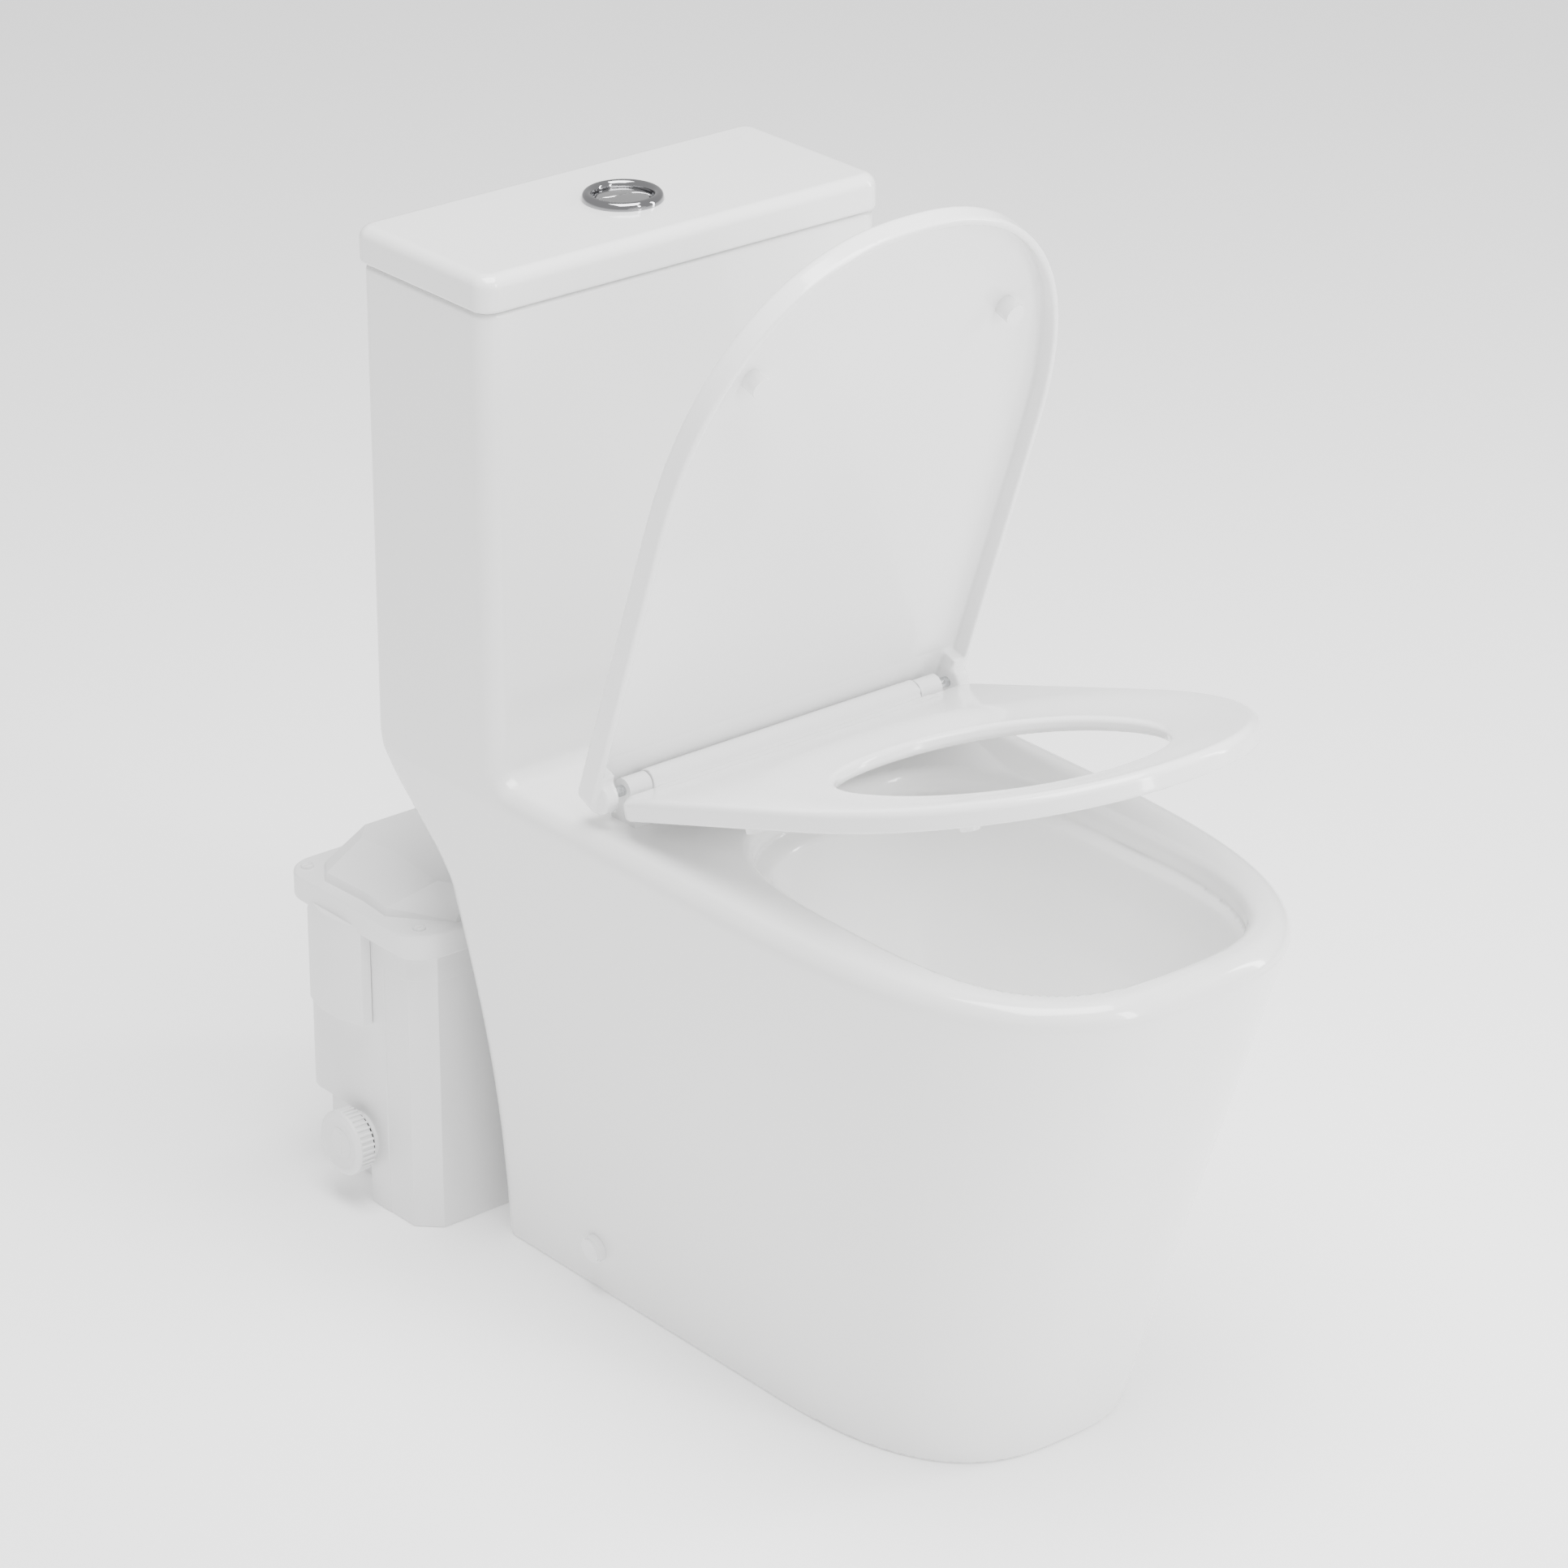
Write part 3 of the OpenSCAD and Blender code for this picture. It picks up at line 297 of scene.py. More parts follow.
def pan_plan(p):
    """The pan's outline at each height, without its back."""
    x, y, z = p
    t = np.clip(z / (RIM_Z - RIM_EDGE_R), 0, 1)
    side_end = lerp(SIDE_END_FOOT_Y, SIDE_END_RIM_Y, t)
    length = side_end - lerp(FOOT_FRONT_Y, RIM_FRONT_Y, t)
    s = np.clip((side_end - y) / length, 0, None)
    half_w = lerp(FOOT_HALF_W, RIM_HALF_W, t) * (1 - FRONT_TAPER * t * np.clip(s, 0, 1))
    lean = 0.985
    return lean * oval_field(x, s * length, half_w, length, FRONT_POWER)


def pan_back(z):
    low = BACK_Y - BACK_HOLLOW * np.sin(math.pi * np.clip(z / BACK_FLARE_Z, 0, 1))
    high = lerp(BACK_Y, CISTERN_BACK_Y, smooth((z - BACK_FLARE_Z) / (RIM_Z - BACK_FLARE_Z)))
    return np.where(z < BACK_FLARE_Z, low, high)


def bowl_field(p):
    x, y, z = p
    fine = np.arange(BOWL[0, 0], BOWL[-1, 0] + 1.0, 1.0)
    kernel = np.exp(-0.5 * (np.arange(-8, 9) / 2.2) ** 2)
    kernel /= kernel.sum()
    tables = []
    for k in (1, 2, 3):
        row = np.pad(np.interp(fine, BOWL[:, 0], BOWL[:, k]), 8, mode="reflect", reflect_type="odd")
        tables.append(np.convolve(row, kernel, mode="valid"))
    half_w, half_l, centre = (np.interp(z, fine, t) for t in tables)
    lean = np.interp(z, fine, np.gradient(tables[1]))
    wall = oval_field(x, y - centre, half_w, half_l, BOWL_POWER) / np.sqrt(1 + np.clip(lean, 0, 3) ** 2)
    return meet(wall, BOWL[0, 0] + 4 - z, 14)


def trap_field(p, r, outlet_r, end_y):
    """The trap: up from the bowl to a crest, down to a bend and level out to its end."""
    x, y, z = p
    bend = (0, TRAP_BEND_Y, OUTLET_Z)
    rise = join(capsule_field(p, TRAP_START, TRAP_CREST, r), capsule_field(p, TRAP_CREST, bend, r), 12)
    flat = np.sqrt(x ** 2 + (z - OUTLET_Z) ** 2) - outlet_r
    spigot = np.maximum(np.maximum(flat, TRAP_BEND_Y - y), y - end_y)
    end = np.sqrt(x ** 2 + (y - TRAP_BEND_Y) ** 2 + (z - OUTLET_Z) ** 2) - outlet_r
    return join(rise, np.minimum(spigot, end), 8)


def pan_hollow(p, plan):
    """The space inside the pan's shell, open below and through the window in its back."""
    y, z = p[1], p[2]
    back = y - np.minimum(pan_back(z), BACK_Y) + PAN_WALL
    hollow = np.maximum(np.maximum(plan + PAN_WALL, back), z - HOLLOW_TOP_Z)
    return np.minimum(hollow, box_field(p, BACK_WINDOW_LOW, BACK_WINDOW_HIGH, 14))


def tank_field(p):
    """The space inside the cistern."""
    x = RIM_HALF_W - CISTERN_WALL
    low = (-x, CISTERN_FRONT_Y + CISTERN_WALL, CISTERN_FLOOR_Z)
    return box_field(p, low, (x, CISTERN_BACK_Y - CISTERN_WALL, 900), 8)


def ceramic_field(p):
    """Pan, bowl, trap and cistern as one piece. meet, join and cut take the radius of the edge last."""
    _, y, z = p
    plan = pan_plan(p)
    deck = join(z - RIM_Z, CISTERN_FRONT_Y - y, DECK_FILLET)
    outside = meet(plan, deck, RIM_EDGE_R)
    outside = meet(outside, y - pan_back(z), CISTERN_CORNER_R)
    outside = meet(outside, z - CISTERN_TOP_Z, 3.5)
    outside = meet(outside, -z, 3)
    bowl = bowl_field(p)
    shell = np.maximum(bowl - BOWL_WALL, z - HOLLOW_TOP_Z - 5)
    trap = trap_field(p, TRAP_R + TRAP_WALL, OUTLET_R, OUTLET_END_Y)
    body = cut(outside, pan_hollow(p, plan), 3)
    body = np.minimum(body, np.minimum(shell, trap))
    body = cut(body, bowl, 7)
    body = cut(body, trap_field(p, TRAP_R, OUTLET_R - TRAP_WALL, OUTLET_END_Y + 12), 4)
    return cut(body, tank_field(p), 2.5)


# ---------- cistern lid ----------

LID_HALF_W = 182.5
LID_FRONT_Y = 136.0
LID_BACK_Y = 294.0
LID_EDGE_R = 10.0
LID_HOLE_R = 24.4


def lid_field(p):
    """A thick slab with a soft top edge, hollow below, with a lip inside the cistern."""
    x, y, z = p
    plan = box_field((x, y, np.zeros_like(z)), (-LID_HALF_W, LID_FRONT_Y, -50),
                     (LID_HALF_W, LID_BACK_Y, 50), CISTERN_CORNER_R)
    slab = meet(meet(plan, z - LID_TOP_Z, LID_EDGE_R), CISTERN_TOP_Z + 0.4 - z, 3)
    under = box_field(p, (-166, 152, CISTERN_TOP_Z - 20), (166, 275, LID_TOP_Z - 14), 4)
    lip_out = box_field(p, (-169.5, 149.5, CISTERN_TOP_Z - 9), (169.5, 277, CISTERN_TOP_Z + 6), 2)
    lip_in = box_field(p, (-163, 156, CISTERN_TOP_Z - 20), (163, 271, CISTERN_TOP_Z + 20), 2)
    lid = np.minimum(cut(slab, under, 2), cut(lip_out, lip_in, 1))
    hole = np.sqrt(x * x + (y - BUTTON_Y) ** 2) - LID_HOLE_R
    return cut(lid, hole, 1)


# ---------- seat ----------

SEAT_HALF_W = 165.0
SEAT_REACH = 449.0
SEAT_LOW = -17.5
SEAT_TOP = -1.5
SEAT_BAR_R = 10.0
SEAT_HOLE_HALF_W = 101.0
SEAT_BAR_HALF_W = 125.0


def lid_plan(x, y, half_w, reach, centre, power):
    """Outline of the seat or the cover in front of the hinge: straight sides that run into a curved front."""
    length = reach - centre
    front = np.maximum(-centre - y, 0)
    return oval_field(x, front, half_w, length, power)


def seat_hole_field(x, y):
    rear = oval_field(x, y + 240, SEAT_HOLE_HALF_W, 120, 2.2)
    fore = oval_field(x, y + 240, SEAT_HOLE_HALF_W, 146, 2.1)
    return np.where(y > -240, rear, fore)


def seat_field(p):
    """The seat, closed: a dished ring with soft edges that grows out of the bar at its hinge."""
    x, y, z = p
    plan = lid_plan(x, y, SEAT_HALF_W, SEAT_REACH, 220, 2.15)
    plan = meet(plan, y + 13, 16)
    hole = seat_hole_field(x, y)
    dish = 5.0 * smooth(1 - hole / 58)
    top = z - SEAT_TOP + dish
    slab = meet(meet(plan, top, 6.5), SEAT_LOW - z, 2)
    ring = cut(slab, hole, 4.5)
    bar = np.maximum(np.sqrt(y * y + z * z) - SEAT_BAR_R, np.abs(x) - SEAT_BAR_HALF_W)
    web = box_field(p, (-SEAT_BAR_HALF_W, -30, SEAT_LOW + 3), (SEAT_BAR_HALF_W, 0, -4), 1)
    return np.minimum(join(ring, join(bar, web, 3), 5), bar)


# ---------- cover ----------

COVER_HALF_W = 174.0
COVER_REACH = 459.0
COVER_LOW = -1.0
COVER_TOP = 19.0
COVER_PLATE = 7.0
COVER_LIP = 6.0
CHEEK_IN = 158.0


def cover_field(p):
    """The cover, closed: a thin crowned plate with a lip all round and a cheek at each end of the hinge."""
    x, y, z = p
    plan = lid_plan(x, y, COVER_HALF_W, COVER_REACH, 232, 2.3)
    plan = meet(plan, y - 12.4, 9)
    shell = meet(meet(plan, z - COVER_TOP, 6), COVER_LOW - z, 2.4)
    under = COVER_TOP - COVER_PLATE
    cavity = meet(np.maximum(plan + COVER_LIP, y + 20), z - under, 3)
    shell = cut(shell, cavity, 1.8)
    between = box_field(p, (-CHEEK_IN, -24, -60), (CHEEK_IN, 60, under), 3)
    shell = cut(shell, between, 1.5)
    cheek = meet(np.sqrt(y * y + z * z) - 12.6, np.abs(np.abs(x) - 164) - 6, 2.5)
    return join(shell, cheek, 3)


def hinged(angle):
    """Where something made closed about the hinge goes when it is raised by angle."""
    return Matrix.Translation((0, HINGE_Y, HINGE_Z)) @ Matrix.Rotation(math.radians(-angle), 4, "X")


# ---------- flush buttons ----------

BUTTON_R = 21.3
BUTTON_LOW_Z = 800.0
BUTTON_TOP_Z = 811.5
BUTTON_BEND = 5.0
BUTTON_GAP = 0.35
SPLIT_ALONG = (0.8, -0.6)
BEZEL_R = 30.0
BEZEL_H = 6.0


def button_field(side):
    """One half of the round button, with a soft rim and a bevel along the S-shaped split."""
    def field(p):
        x, y, z = p
        y = y - BUTTON_Y
        along = x * SPLIT_ALONG[0] + y * SPLIT_ALONG[1]
        across = -x * SPLIT_ALONG[1] + y * SPLIT_ALONG[0]
        turn = math.pi / 24
        bend = BUTTON_BEND * np.sin(along * turn)
        slope = BUTTON_BEND * turn * np.cos(along * turn)
        split = side * (bend - across) / np.sqrt(1 + slope * slope) + BUTTON_GAP
        disc = np.sqrt(x * x + y * y) - BUTTON_R
        top = z - BUTTON_TOP_Z + 0.004 * (x * x + y * y)
        puck = meet(meet(disc, top, 3.2), BUTTON_LOW_Z - z, 0.4)
        return meet(puck, split, 0.8)
    return field


def lathe(name, profile, centre, turns=128):
    """A closed ring: the profile's (radius, height) points turned about +Z through centre."""
    steps = [2 * math.pi * i / turns for i in range(turns)]
    points = [((centre[0] + r * math.cos(a)) * MM, (centre[1] + r * math.sin(a)) * MM, (centre[2] + h) * MM)
              for a in steps for r, h in profile]
    n = len(profile)
    faces = [(i * n + k, (i + 1) % turns * n + k, (i + 1) % turns * n + (k + 1) % n, i * n + (k + 1) % n)
             for i in range(turns) for k in range(n)]
    mesh = bpy.data.meshes.new(name)
    mesh.from_pydata(points, [], faces)
    mesh.polygons.foreach_set("use_smooth", [True] * len(mesh.polygons))
    mesh.update()
    return new_piece(name, mesh)


def build_bezel():
    """The ring round the button: a low dome with a rolled inner edge."""
    inner = BUTTON_R + 0.6
    width = BEZEL_R - inner
    profile = [(inner + width * (0.5 - 0.5 * math.cos(a)), BEZEL_H * math.sin(a) ** 0.75)
               for a in (math.pi * i / 20 for i in range(1, 20))]
    foot = [(BEZEL_R, 0.4), (BEZEL_R, 0.02), (inner + 2, -1.0)]
    profile = [(inner, -1.0), (inner, 0.5)] + profile + foot
    return lathe("bezel_ring", profile[::-1], (0, BUTTON_Y, LID_TOP_Z))


# ---------- pieces built from outlines ----------

def finish_edges(piece, width, segments=3, angle=32.0):
    """Rounds the sharp edges of a piece and gives it smooth faces."""
    bevel = piece.modifiers.new("bevel", "BEVEL")
    bevel.width = width * MM
    bevel.segments = segments
    bevel.limit_method = "ANGLE"
    bevel.angle_limit = math.radians(angle)
    bevel.harden_normals = True
    bevel.use_clamp_overlap = True
    for face in piece.data.polygons:
        face.use_smooth = True
    return piece


def stack(name, rings):
    """A closed solid through rings of points, lowest first, each with the same number of points."""
    n = len(rings[0])
    points = [(x * MM, y * MM, z * MM) for ring in rings for x, y, z in ring]
    faces = [tuple(range(n))[::-1]]
    for i in range(len(rings) - 1):
        low, high = i * n, (i + 1) * n
        faces += [(low + k, low + (k + 1) % n, high + (k + 1) % n, high + k) for k in range(n)]
    faces.append(tuple(range((len(rings) - 1) * n, len(rings) * n)))
    mesh = bpy.data.meshes.new(name)
    mesh.from_pydata(points, [], faces)
    bm = bmesh.new()
    bm.from_mesh(mesh)
    bmesh.ops.recalc_face_normals(bm, faces=bm.faces)
    bm.to_mesh(mesh)
    bm.free()
    return new_piece(name, mesh)


def at_height(outline, z):
    return [(x, y, z) for x, y in outline]


def arc(cx, cy, r, start, end, steps):
    return [(cx + r * math.cos(math.radians(lerp(start, end, i / steps))),
             cy + r * math.sin(math.radians(lerp(start, end, i / steps)))) for i in range(steps + 1)]


def carve(piece, *cutters):
    """Takes the cutters out of a piece and removes them from the scene."""
    for cutter in cutters:
        hole = piece.modifiers.new("hole", "BOOLEAN")
        hole.object = cutter
        hole.operation = "DIFFERENCE"
        hole.solver = "EXACT"
    bpy.context.view_layer.update()
    graph = bpy.context.evaluated_depsgraph_get()
    mesh = bpy.data.meshes.new_from_object(piece.evaluated_get(graph))
    piece.modifiers.clear()
    piece.data = mesh
    for cutter in cutters:
        bpy.data.objects.remove(cutter)
    return piece


def merge(name, pieces):
    """One piece from several, with their modifiers applied."""
    bpy.context.view_layer.update()
    graph = bpy.context.evaluated_depsgraph_get()
    bm = bmesh.new()
    for piece in pieces:
        mesh = bpy.data.meshes.new_from_object(piece.evaluated_get(graph))
        mesh.transform(piece.matrix_world)
        bm.from_mesh(mesh)
        bpy.data.meshes.remove(mesh)
    for piece in pieces:
        bpy.data.objects.remove(piece)
    mesh = bpy.data.meshes.new(name)
    bm.to_mesh(mesh)
    bm.free()
    return new_piece(name, mesh)


def rod(name, start, end, profile, sides=48):
    """A turned solid along the line from start to end: profile is (distance along, radius) points."""
    start, end = Vector(start), Vector(end)
    axis = (end - start).normalized()
    turn = axis.to_track_quat("Z", "Y").to_matrix()
    rings = []
    for d, r in profile:
        ring = []
        for k in range(sides):
            a = 2 * math.pi * k / sides
            point = start + turn @ Vector((r * math.cos(a), r * math.sin(a), d))
            ring.append(tuple(point))
        rings.append(ring)
    return stack(name, rings)


# ---------- macerator ----------

CASE_HALF_W = 172.0
CASE_FRONT_Y = 251.5
CASE_BACK_Y = 408.0
CASE_TOP_Z = 234.0
CASE_CHAMFER = 17.0
CASE_BAND_Z = 210.0
PANEL_FRONT_Y = 299.0
PANEL_PROUD = 1.2
PANEL_BACK = 0.3
RECESS_X = 148.0
RECESS_ARCH_Y = 354.0
RECESS_ARCH_Z = 42.0
RECESS_ARCH_R = 31.0
BOSS_END_X = 175.0
BOSS_R = 20.0
CAP_Y = 332.0
CAP_Z = 54.0
CAP_IN_X = 178.0
CAP_OUT_X = 195.0
MACERATOR_LID_W = 181.0
MACERATOR_LID_FRONT_Y = 244.0
MACERATOR_LID_BACK_Y = 418.0
MACERATOR_LID_Z = 255.0
PLATEAU_Z = 280.0
PLINTH_Z = 262.0
EMBLEM_PLACE = (-72, 338)
EMBLEM_R = 14
DISCHARGE_PLACE = (33, 384)
DISCHARGE_HOLE_R = 18
DUCT_LOW_Z = 157.0
DUCT_TOP_Z = 239.6
DUCT_X = 103.5
DUCT_Y = 349.0
DUCT_R = 85.0
DUCT_SWEEP = 24.0
DUCT_IN_X = 172.2
DUCT_SLANT = 2.5
DUCT_HALF_L = 35.5
LID_SCREWS = ((164.0, 261.0), (166.0, 403.0))


def case_outline(inset):
    w, y0, y1 = CASE_HALF_W - inset, CASE_FRONT_Y + inset, CASE_BACK_Y - inset
    c, r = CASE_CHAMFER - 0.4 * inset, 18 - inset
    right = [(w, y0 + c)] + arc(w - r, y1 - r, r, 0, 90, 8)
    left = arc(r - w, y1 - r, r, 90, 180, 8) + [(-w, y0 + c)]
    return right + left + [(c - w, y0), (w - c, y0)]


def recess_cutter(side):
    """The space under a side inlet's cap: a quarter arch that runs out to the back of the case."""
    arch = arc(RECESS_ARCH_Y, RECESS_ARCH_Z, RECESS_ARCH_R, 180, 90, 10)
    top = RECESS_ARCH_Z + RECESS_ARCH_R
    outline = [(RECESS_ARCH_Y - RECESS_ARCH_R, -5)] + arch + [(430, top), (430, -5)]
    rings = [[(side * x, y, z) for y, z in outline] for x in (RECESS_X, CASE_HALF_W + 20)]
    return stack("cutter", rings)


def build_case():
    lower = stack("lower", [at_height(case_outline(PANEL_PROUD), z) for z in (0.8, CASE_BAND_Z + 2)])
    panels = []
    for side in (-1, 1):
        x0, x1 = side * (CASE_HALF_W - 4), side * (CASE_HALF_W - PANEL_BACK)
        outline = [(x0, PANEL_FRONT_Y), (x1, PANEL_FRONT_Y), (x1, CASE_BACK_Y - 18), (x0, CASE_BACK_Y - 18)]
        panels.append(stack("panel", [at_height(outline, z) for z in (1.0, CASE_TOP_Z - 2)]))
    band = stack("band", [at_height(case_outline(0), z) for z in (CASE_BAND_Z, CASE_TOP_Z)])
    spigot_hole = rod("cutter", (0, 235, OUTLET_Z), (0, 270, OUTLET_Z), ((0, 55.7), (35, 55.7)))
    carve(lower, spigot_hole, *[recess_cutter(side) for side in (-1, 1)])
    for panel, side in zip(panels, (-1, 1)):
        carve(panel, recess_cutter(side))
        finish_edges(panel, 0.8, 2)
    finish_edges(lower, 0.9, 2)
    finish_edges(band, 0.8, 2)
    bosses = []
    for side in (-1, 1):
        start, end = (side * (RECESS_X - 2), CAP_Y, CAP_Z), (side * BOSS_END_X, CAP_Y, CAP_Z)
        reach = BOSS_END_X - RECESS_X + 2
        bosses.append(finish_edges(rod("boss", start, end, ((0, BOSS_R), (reach, BOSS_R))), 0.6, 2))
    return merge("macerator_shell", [lower, band] + panels + bosses)


def rise_ring(points, z_left, z_ends):
    """The left half of the lid's raised middle, back to front, and its mirror image."""
    heights = [z_ends[0]] + [z_left] * (len(points) - 2) + [z_ends[1]]
    left = [(x, y, z) for (x, y), z in zip(points, heights)]
    right = [(-x, y, z) for x, y, z in reversed(left)]
    return left + right


def build_macerator_lid():
    w, y0, y1, r = MACERATOR_LID_W, MACERATOR_LID_FRONT_Y, MACERATOR_LID_BACK_Y, 26
    outline = (arc(w - r, y1 - r, r, 0, 90, 10) + arc(r - w, y1 - r, r, 90, 180, 10)
               + arc(r - w, y0 + r, r, 180, 270, 10) + arc(w - r, y0 + r, r, 270, 360, 10))
    tray = stack("tray", [at_height(outline, CASE_TOP_Z), at_height(outline, MACERATOR_LID_Z)])
    inside = [(x * 0.965, y0 + 8 + (y - y0) * 0.91) for x, y in outline]
    under = stack("cutter", [at_height(inside, CASE_TOP_Z - 5), at_height(inside, MACERATOR_LID_Z - 5)])
    carve(tray, under)
    foot = [(-152, 402), (-171, 374), (-169, 326), (-171.5, 294), (-136, 252)]
    plinth = [(-150, 401), (-169, 373), (-166.5, 325), (-170, 294), (-136, 252.6)]
    top = [(-118, 393), (-134.6, 375), (-129.6, 345), (-134.6, 277), (-122, 256)]
    middle = stack("middle", [
        rise_ring(foot, MACERATOR_LID_Z - 2, (MACERATOR_LID_Z - 2, MACERATOR_LID_Z - 2)),
        rise_ring(plinth, PLINTH_Z, (MACERATOR_LID_Z + 0.6, MACERATOR_LID_Z + 0.8)),
        rise_ring(top, PLATEAU_Z, (PLATEAU_Z, PLATEAU_Z))])
    x, y = DISCHARGE_PLACE
    spigot = rod("cutter", (x, y, 240), (x, y, 300), ((0, DISCHARGE_HOLE_R), (60, DISCHARGE_HOLE_R)))
    carve(middle, spigot)
    finish_edges(tray, 2.2, 3)
    finish_edges(middle, 1.3, 3, 20)
    x, y = EMBLEM_PLACE
    emblem = rod("emblem", (x, y, PLATEAU_Z - 1), (x, y, PLATEAU_Z), ((0, EMBLEM_R), (1.7, EMBLEM_R)))
    hole_r = EMBLEM_R - 2
    carve(emblem, rod("cutter", (x, y, PLATEAU_Z + 0.2), (x, y, PLATEAU_Z + 5), ((0, hole_r), (5, hole_r))))
    finish_edges(emblem, 0.3, 2)
    return merge("macerator_cover", [tray, middle, emblem])


def build_duct(side):
    """The moulded cover on the case's side: a shallow arch with a slanted top under the lid's edge."""
    front, back = (DUCT_IN_X, DUCT_Y - DUCT_HALF_L), (DUCT_IN_X, DUCT_Y + DUCT_HALF_L)
    plan = [front] + arc(DUCT_X, DUCT_Y, DUCT_R, -DUCT_SWEEP, DUCT_SWEEP, 16) + [back]
    rings = []
    for z, inward in ((DUCT_LOW_Z, 0), (CASE_TOP_Z - 2, 0), (DUCT_TOP_Z, DUCT_SLANT)):
        rings.append([(side * max(DUCT_IN_X, x - inward), y, z) for x, y in plan])
    return finish_edges(stack("duct", rings), 1.0, 3)


def build_cap(side):
    """A screwed cap with a ribbed edge, a soft raised rim and a shallow round face."""
    ribs = 34
    start, end = (side * CAP_IN_X, CAP_Y, CAP_Z), (side * CAP_OUT_X, CAP_Y, CAP_Z)
    body = rod("cap", start, end, (
        (-8, 17.4), (0, 17.4), (0.01, 22.5), (1, 24.2), (12, 24.2), (12.6, 25.8), (14.2, 26), (15.8, 25),
        (16.7, 23),
        (17.0, 21.4), (16.6, 20.2), (15.8, 19.6), (15.6, 18), (15.6, 0.5)), 96)
    pieces = [finish_edges(body, 0.2, 1, 60)]
    for i in range(ribs):
        a = 2 * math.pi * i / ribs
        y, z = CAP_Y + 24.6 * math.cos(a), CAP_Z + 24.6 * math.sin(a)
        start_x, end_x = side * (CAP_IN_X + 0.6), side * (CAP_IN_X + 13)
        pieces.append(rod("rib", (start_x, y, z), (end_x, y, z), ((0, 1.0), (12.6, 1.25)), 8))
    ring = rod("ring", (side * (CAP_OUT_X - 2), CAP_Y, CAP_Z), end, ((0, 13.2), (1.1, 13.2)), 64)
    carve(ring, rod("cutter", (side * (CAP_OUT_X - 1.35), CAP_Y, CAP_Z), end, ((0, 12), (4, 12)), 64))
    pieces.append(finish_edges(ring, 0.25, 2))
    grip = ((-1.6, -9), (1.6, -9), (1.6, 9), (-1.6, 9))
    bar = stack("grip", [[(side * x, CAP_Y + u, CAP_Z + v) for u, v in grip]
                         for x in (CAP_OUT_X - 2, CAP_OUT_X - 0.9)])
    pieces.append(finish_edges(bar, 0.5, 2))
    return merge("right_cap_detail" if side > 0 else "left_cap_detail", pieces)


def build_lid_screws():
    """Ringed heads in the corners of the macerator's lid."""
    pieces = []
    for side in (-1, 1):
        for x, y in LID_SCREWS:
            head = rod("head", (side * x, y, 0), (side * x, y, 1), (
                (240, 2.3), (251, 2.3), (251.01, 5.2), (256.4, 5.2), (257.2, 4.8), (257.4, 4.2), (256.2, 3.4),
                (256.2, 0.3)), 40)
            pieces.append(head)
            bar = ((-2.6, -0.6), (2.6, -0.6), (2.6, 0.6), (-2.6, 0.6))
            rings = [[(side * x + u, y + v, z) for u, v in bar] for z in (256.0, 256.8)]
            pieces.append(stack("bar", rings))
    return merge("lid_screw_heads", pieces)


# ---------- materials ----------

def start_material(name, colour, roughness, metallic=0.0):
    material = bpy.data.materials.new(name)
    material.use_nodes = True
    material.diffuse_color = (*colour, 1.0)
    shader = material.node_tree.nodes["Principled BSDF"]
    shader.inputs["Base Color"].default_value = (*colour, 1.0)
    shader.inputs["Roughness"].default_value = roughness
    shader.inputs["Metallic"].default_value = metallic
    return material, shader


def add_noise(material, scale, detail=3.0, stretch=(1.0, 1.0, 1.0)):
    """Noise in the object's own space, in cycles per metre."""
    nodes, links = material.node_tree.nodes, material.node_tree.links
    place = nodes.new("ShaderNodeTexCoord")
    mapping = nodes.new("ShaderNodeMapping")
    mapping.inputs["Scale"].default_value = stretch
    noise = nodes.new("ShaderNodeTexNoise")
    noise.inputs["Scale"].default_value = scale
    noise.inputs["Detail"].default_value = detail
    links.new(place.outputs["Object"], mapping.inputs["Vector"])
    links.new(mapping.outputs["Vector"], noise.inputs["Vector"])
    return noise.outputs["Fac"]


def vary(material, socket, fac, low, high):
    """Drives a number on the shader between low and high."""
    nodes, links = material.node_tree.nodes, material.node_tree.links
    span = nodes.new("ShaderNodeMapRange")
    span.inputs["From Min"].default_value = 0.3
    span.inputs["From Max"].default_value = 0.7
    span.inputs["To Min"].default_value = low
    span.inputs["To Max"].default_value = high
    links.new(fac, span.inputs["Value"])
    links.new(span.outputs["Result"], socket)


def tint(material, shader, fac, dark, light):
    """Drives the base colour between two close colours."""
    nodes, links = material.node_tree.nodes, material.node_tree.links
    mix = nodes.new("ShaderNodeMix")
    mix.data_type = "RGBA"
    mix.inputs["A"].default_value = (*dark, 1.0)
    mix.inputs["B"].default_value = (*light, 1.0)
    links.new(fac, mix.inputs["Factor"])
    links.new(mix.outputs["Result"], shader.inputs["Base Color"])


def bump(material, shader, fac, depth, strength=1.0):
    """Relief of that depth in metres."""
    nodes, links = material.node_tree.nodes, material.node_tree.links
    relief = nodes.new("ShaderNodeBump")
    relief.inputs["Strength"].default_value = strength
    relief.inputs["Distance"].default_value = depth
    links.new(fac, relief.inputs["Height"])
    links.new(relief.outputs["Normal"], shader.inputs["Normal"])


def glaze():
    """Vitreous china: a white body under a clear, faintly wavy glaze."""
    material, shader = start_material("glaze", (0.86, 0.86, 0.855), 0.22)
    shader.inputs["Coat Weight"].default_value = 0.75
    shader.inputs["Coat Roughness"].default_value = 0.035
    shader.inputs["Coat IOR"].default_value = 1.5
    vary(material, shader.inputs["Roughness"], add_noise(material, 9.0), 0.2, 0.26)
    tint(material, shader, add_noise(material, 3.0, 2.0), (0.855, 0.855, 0.85), (0.872, 0.872, 0.868))
    bump(material, shader, add_noise(material, 22.0, 2.0), 0.00012)
    return material


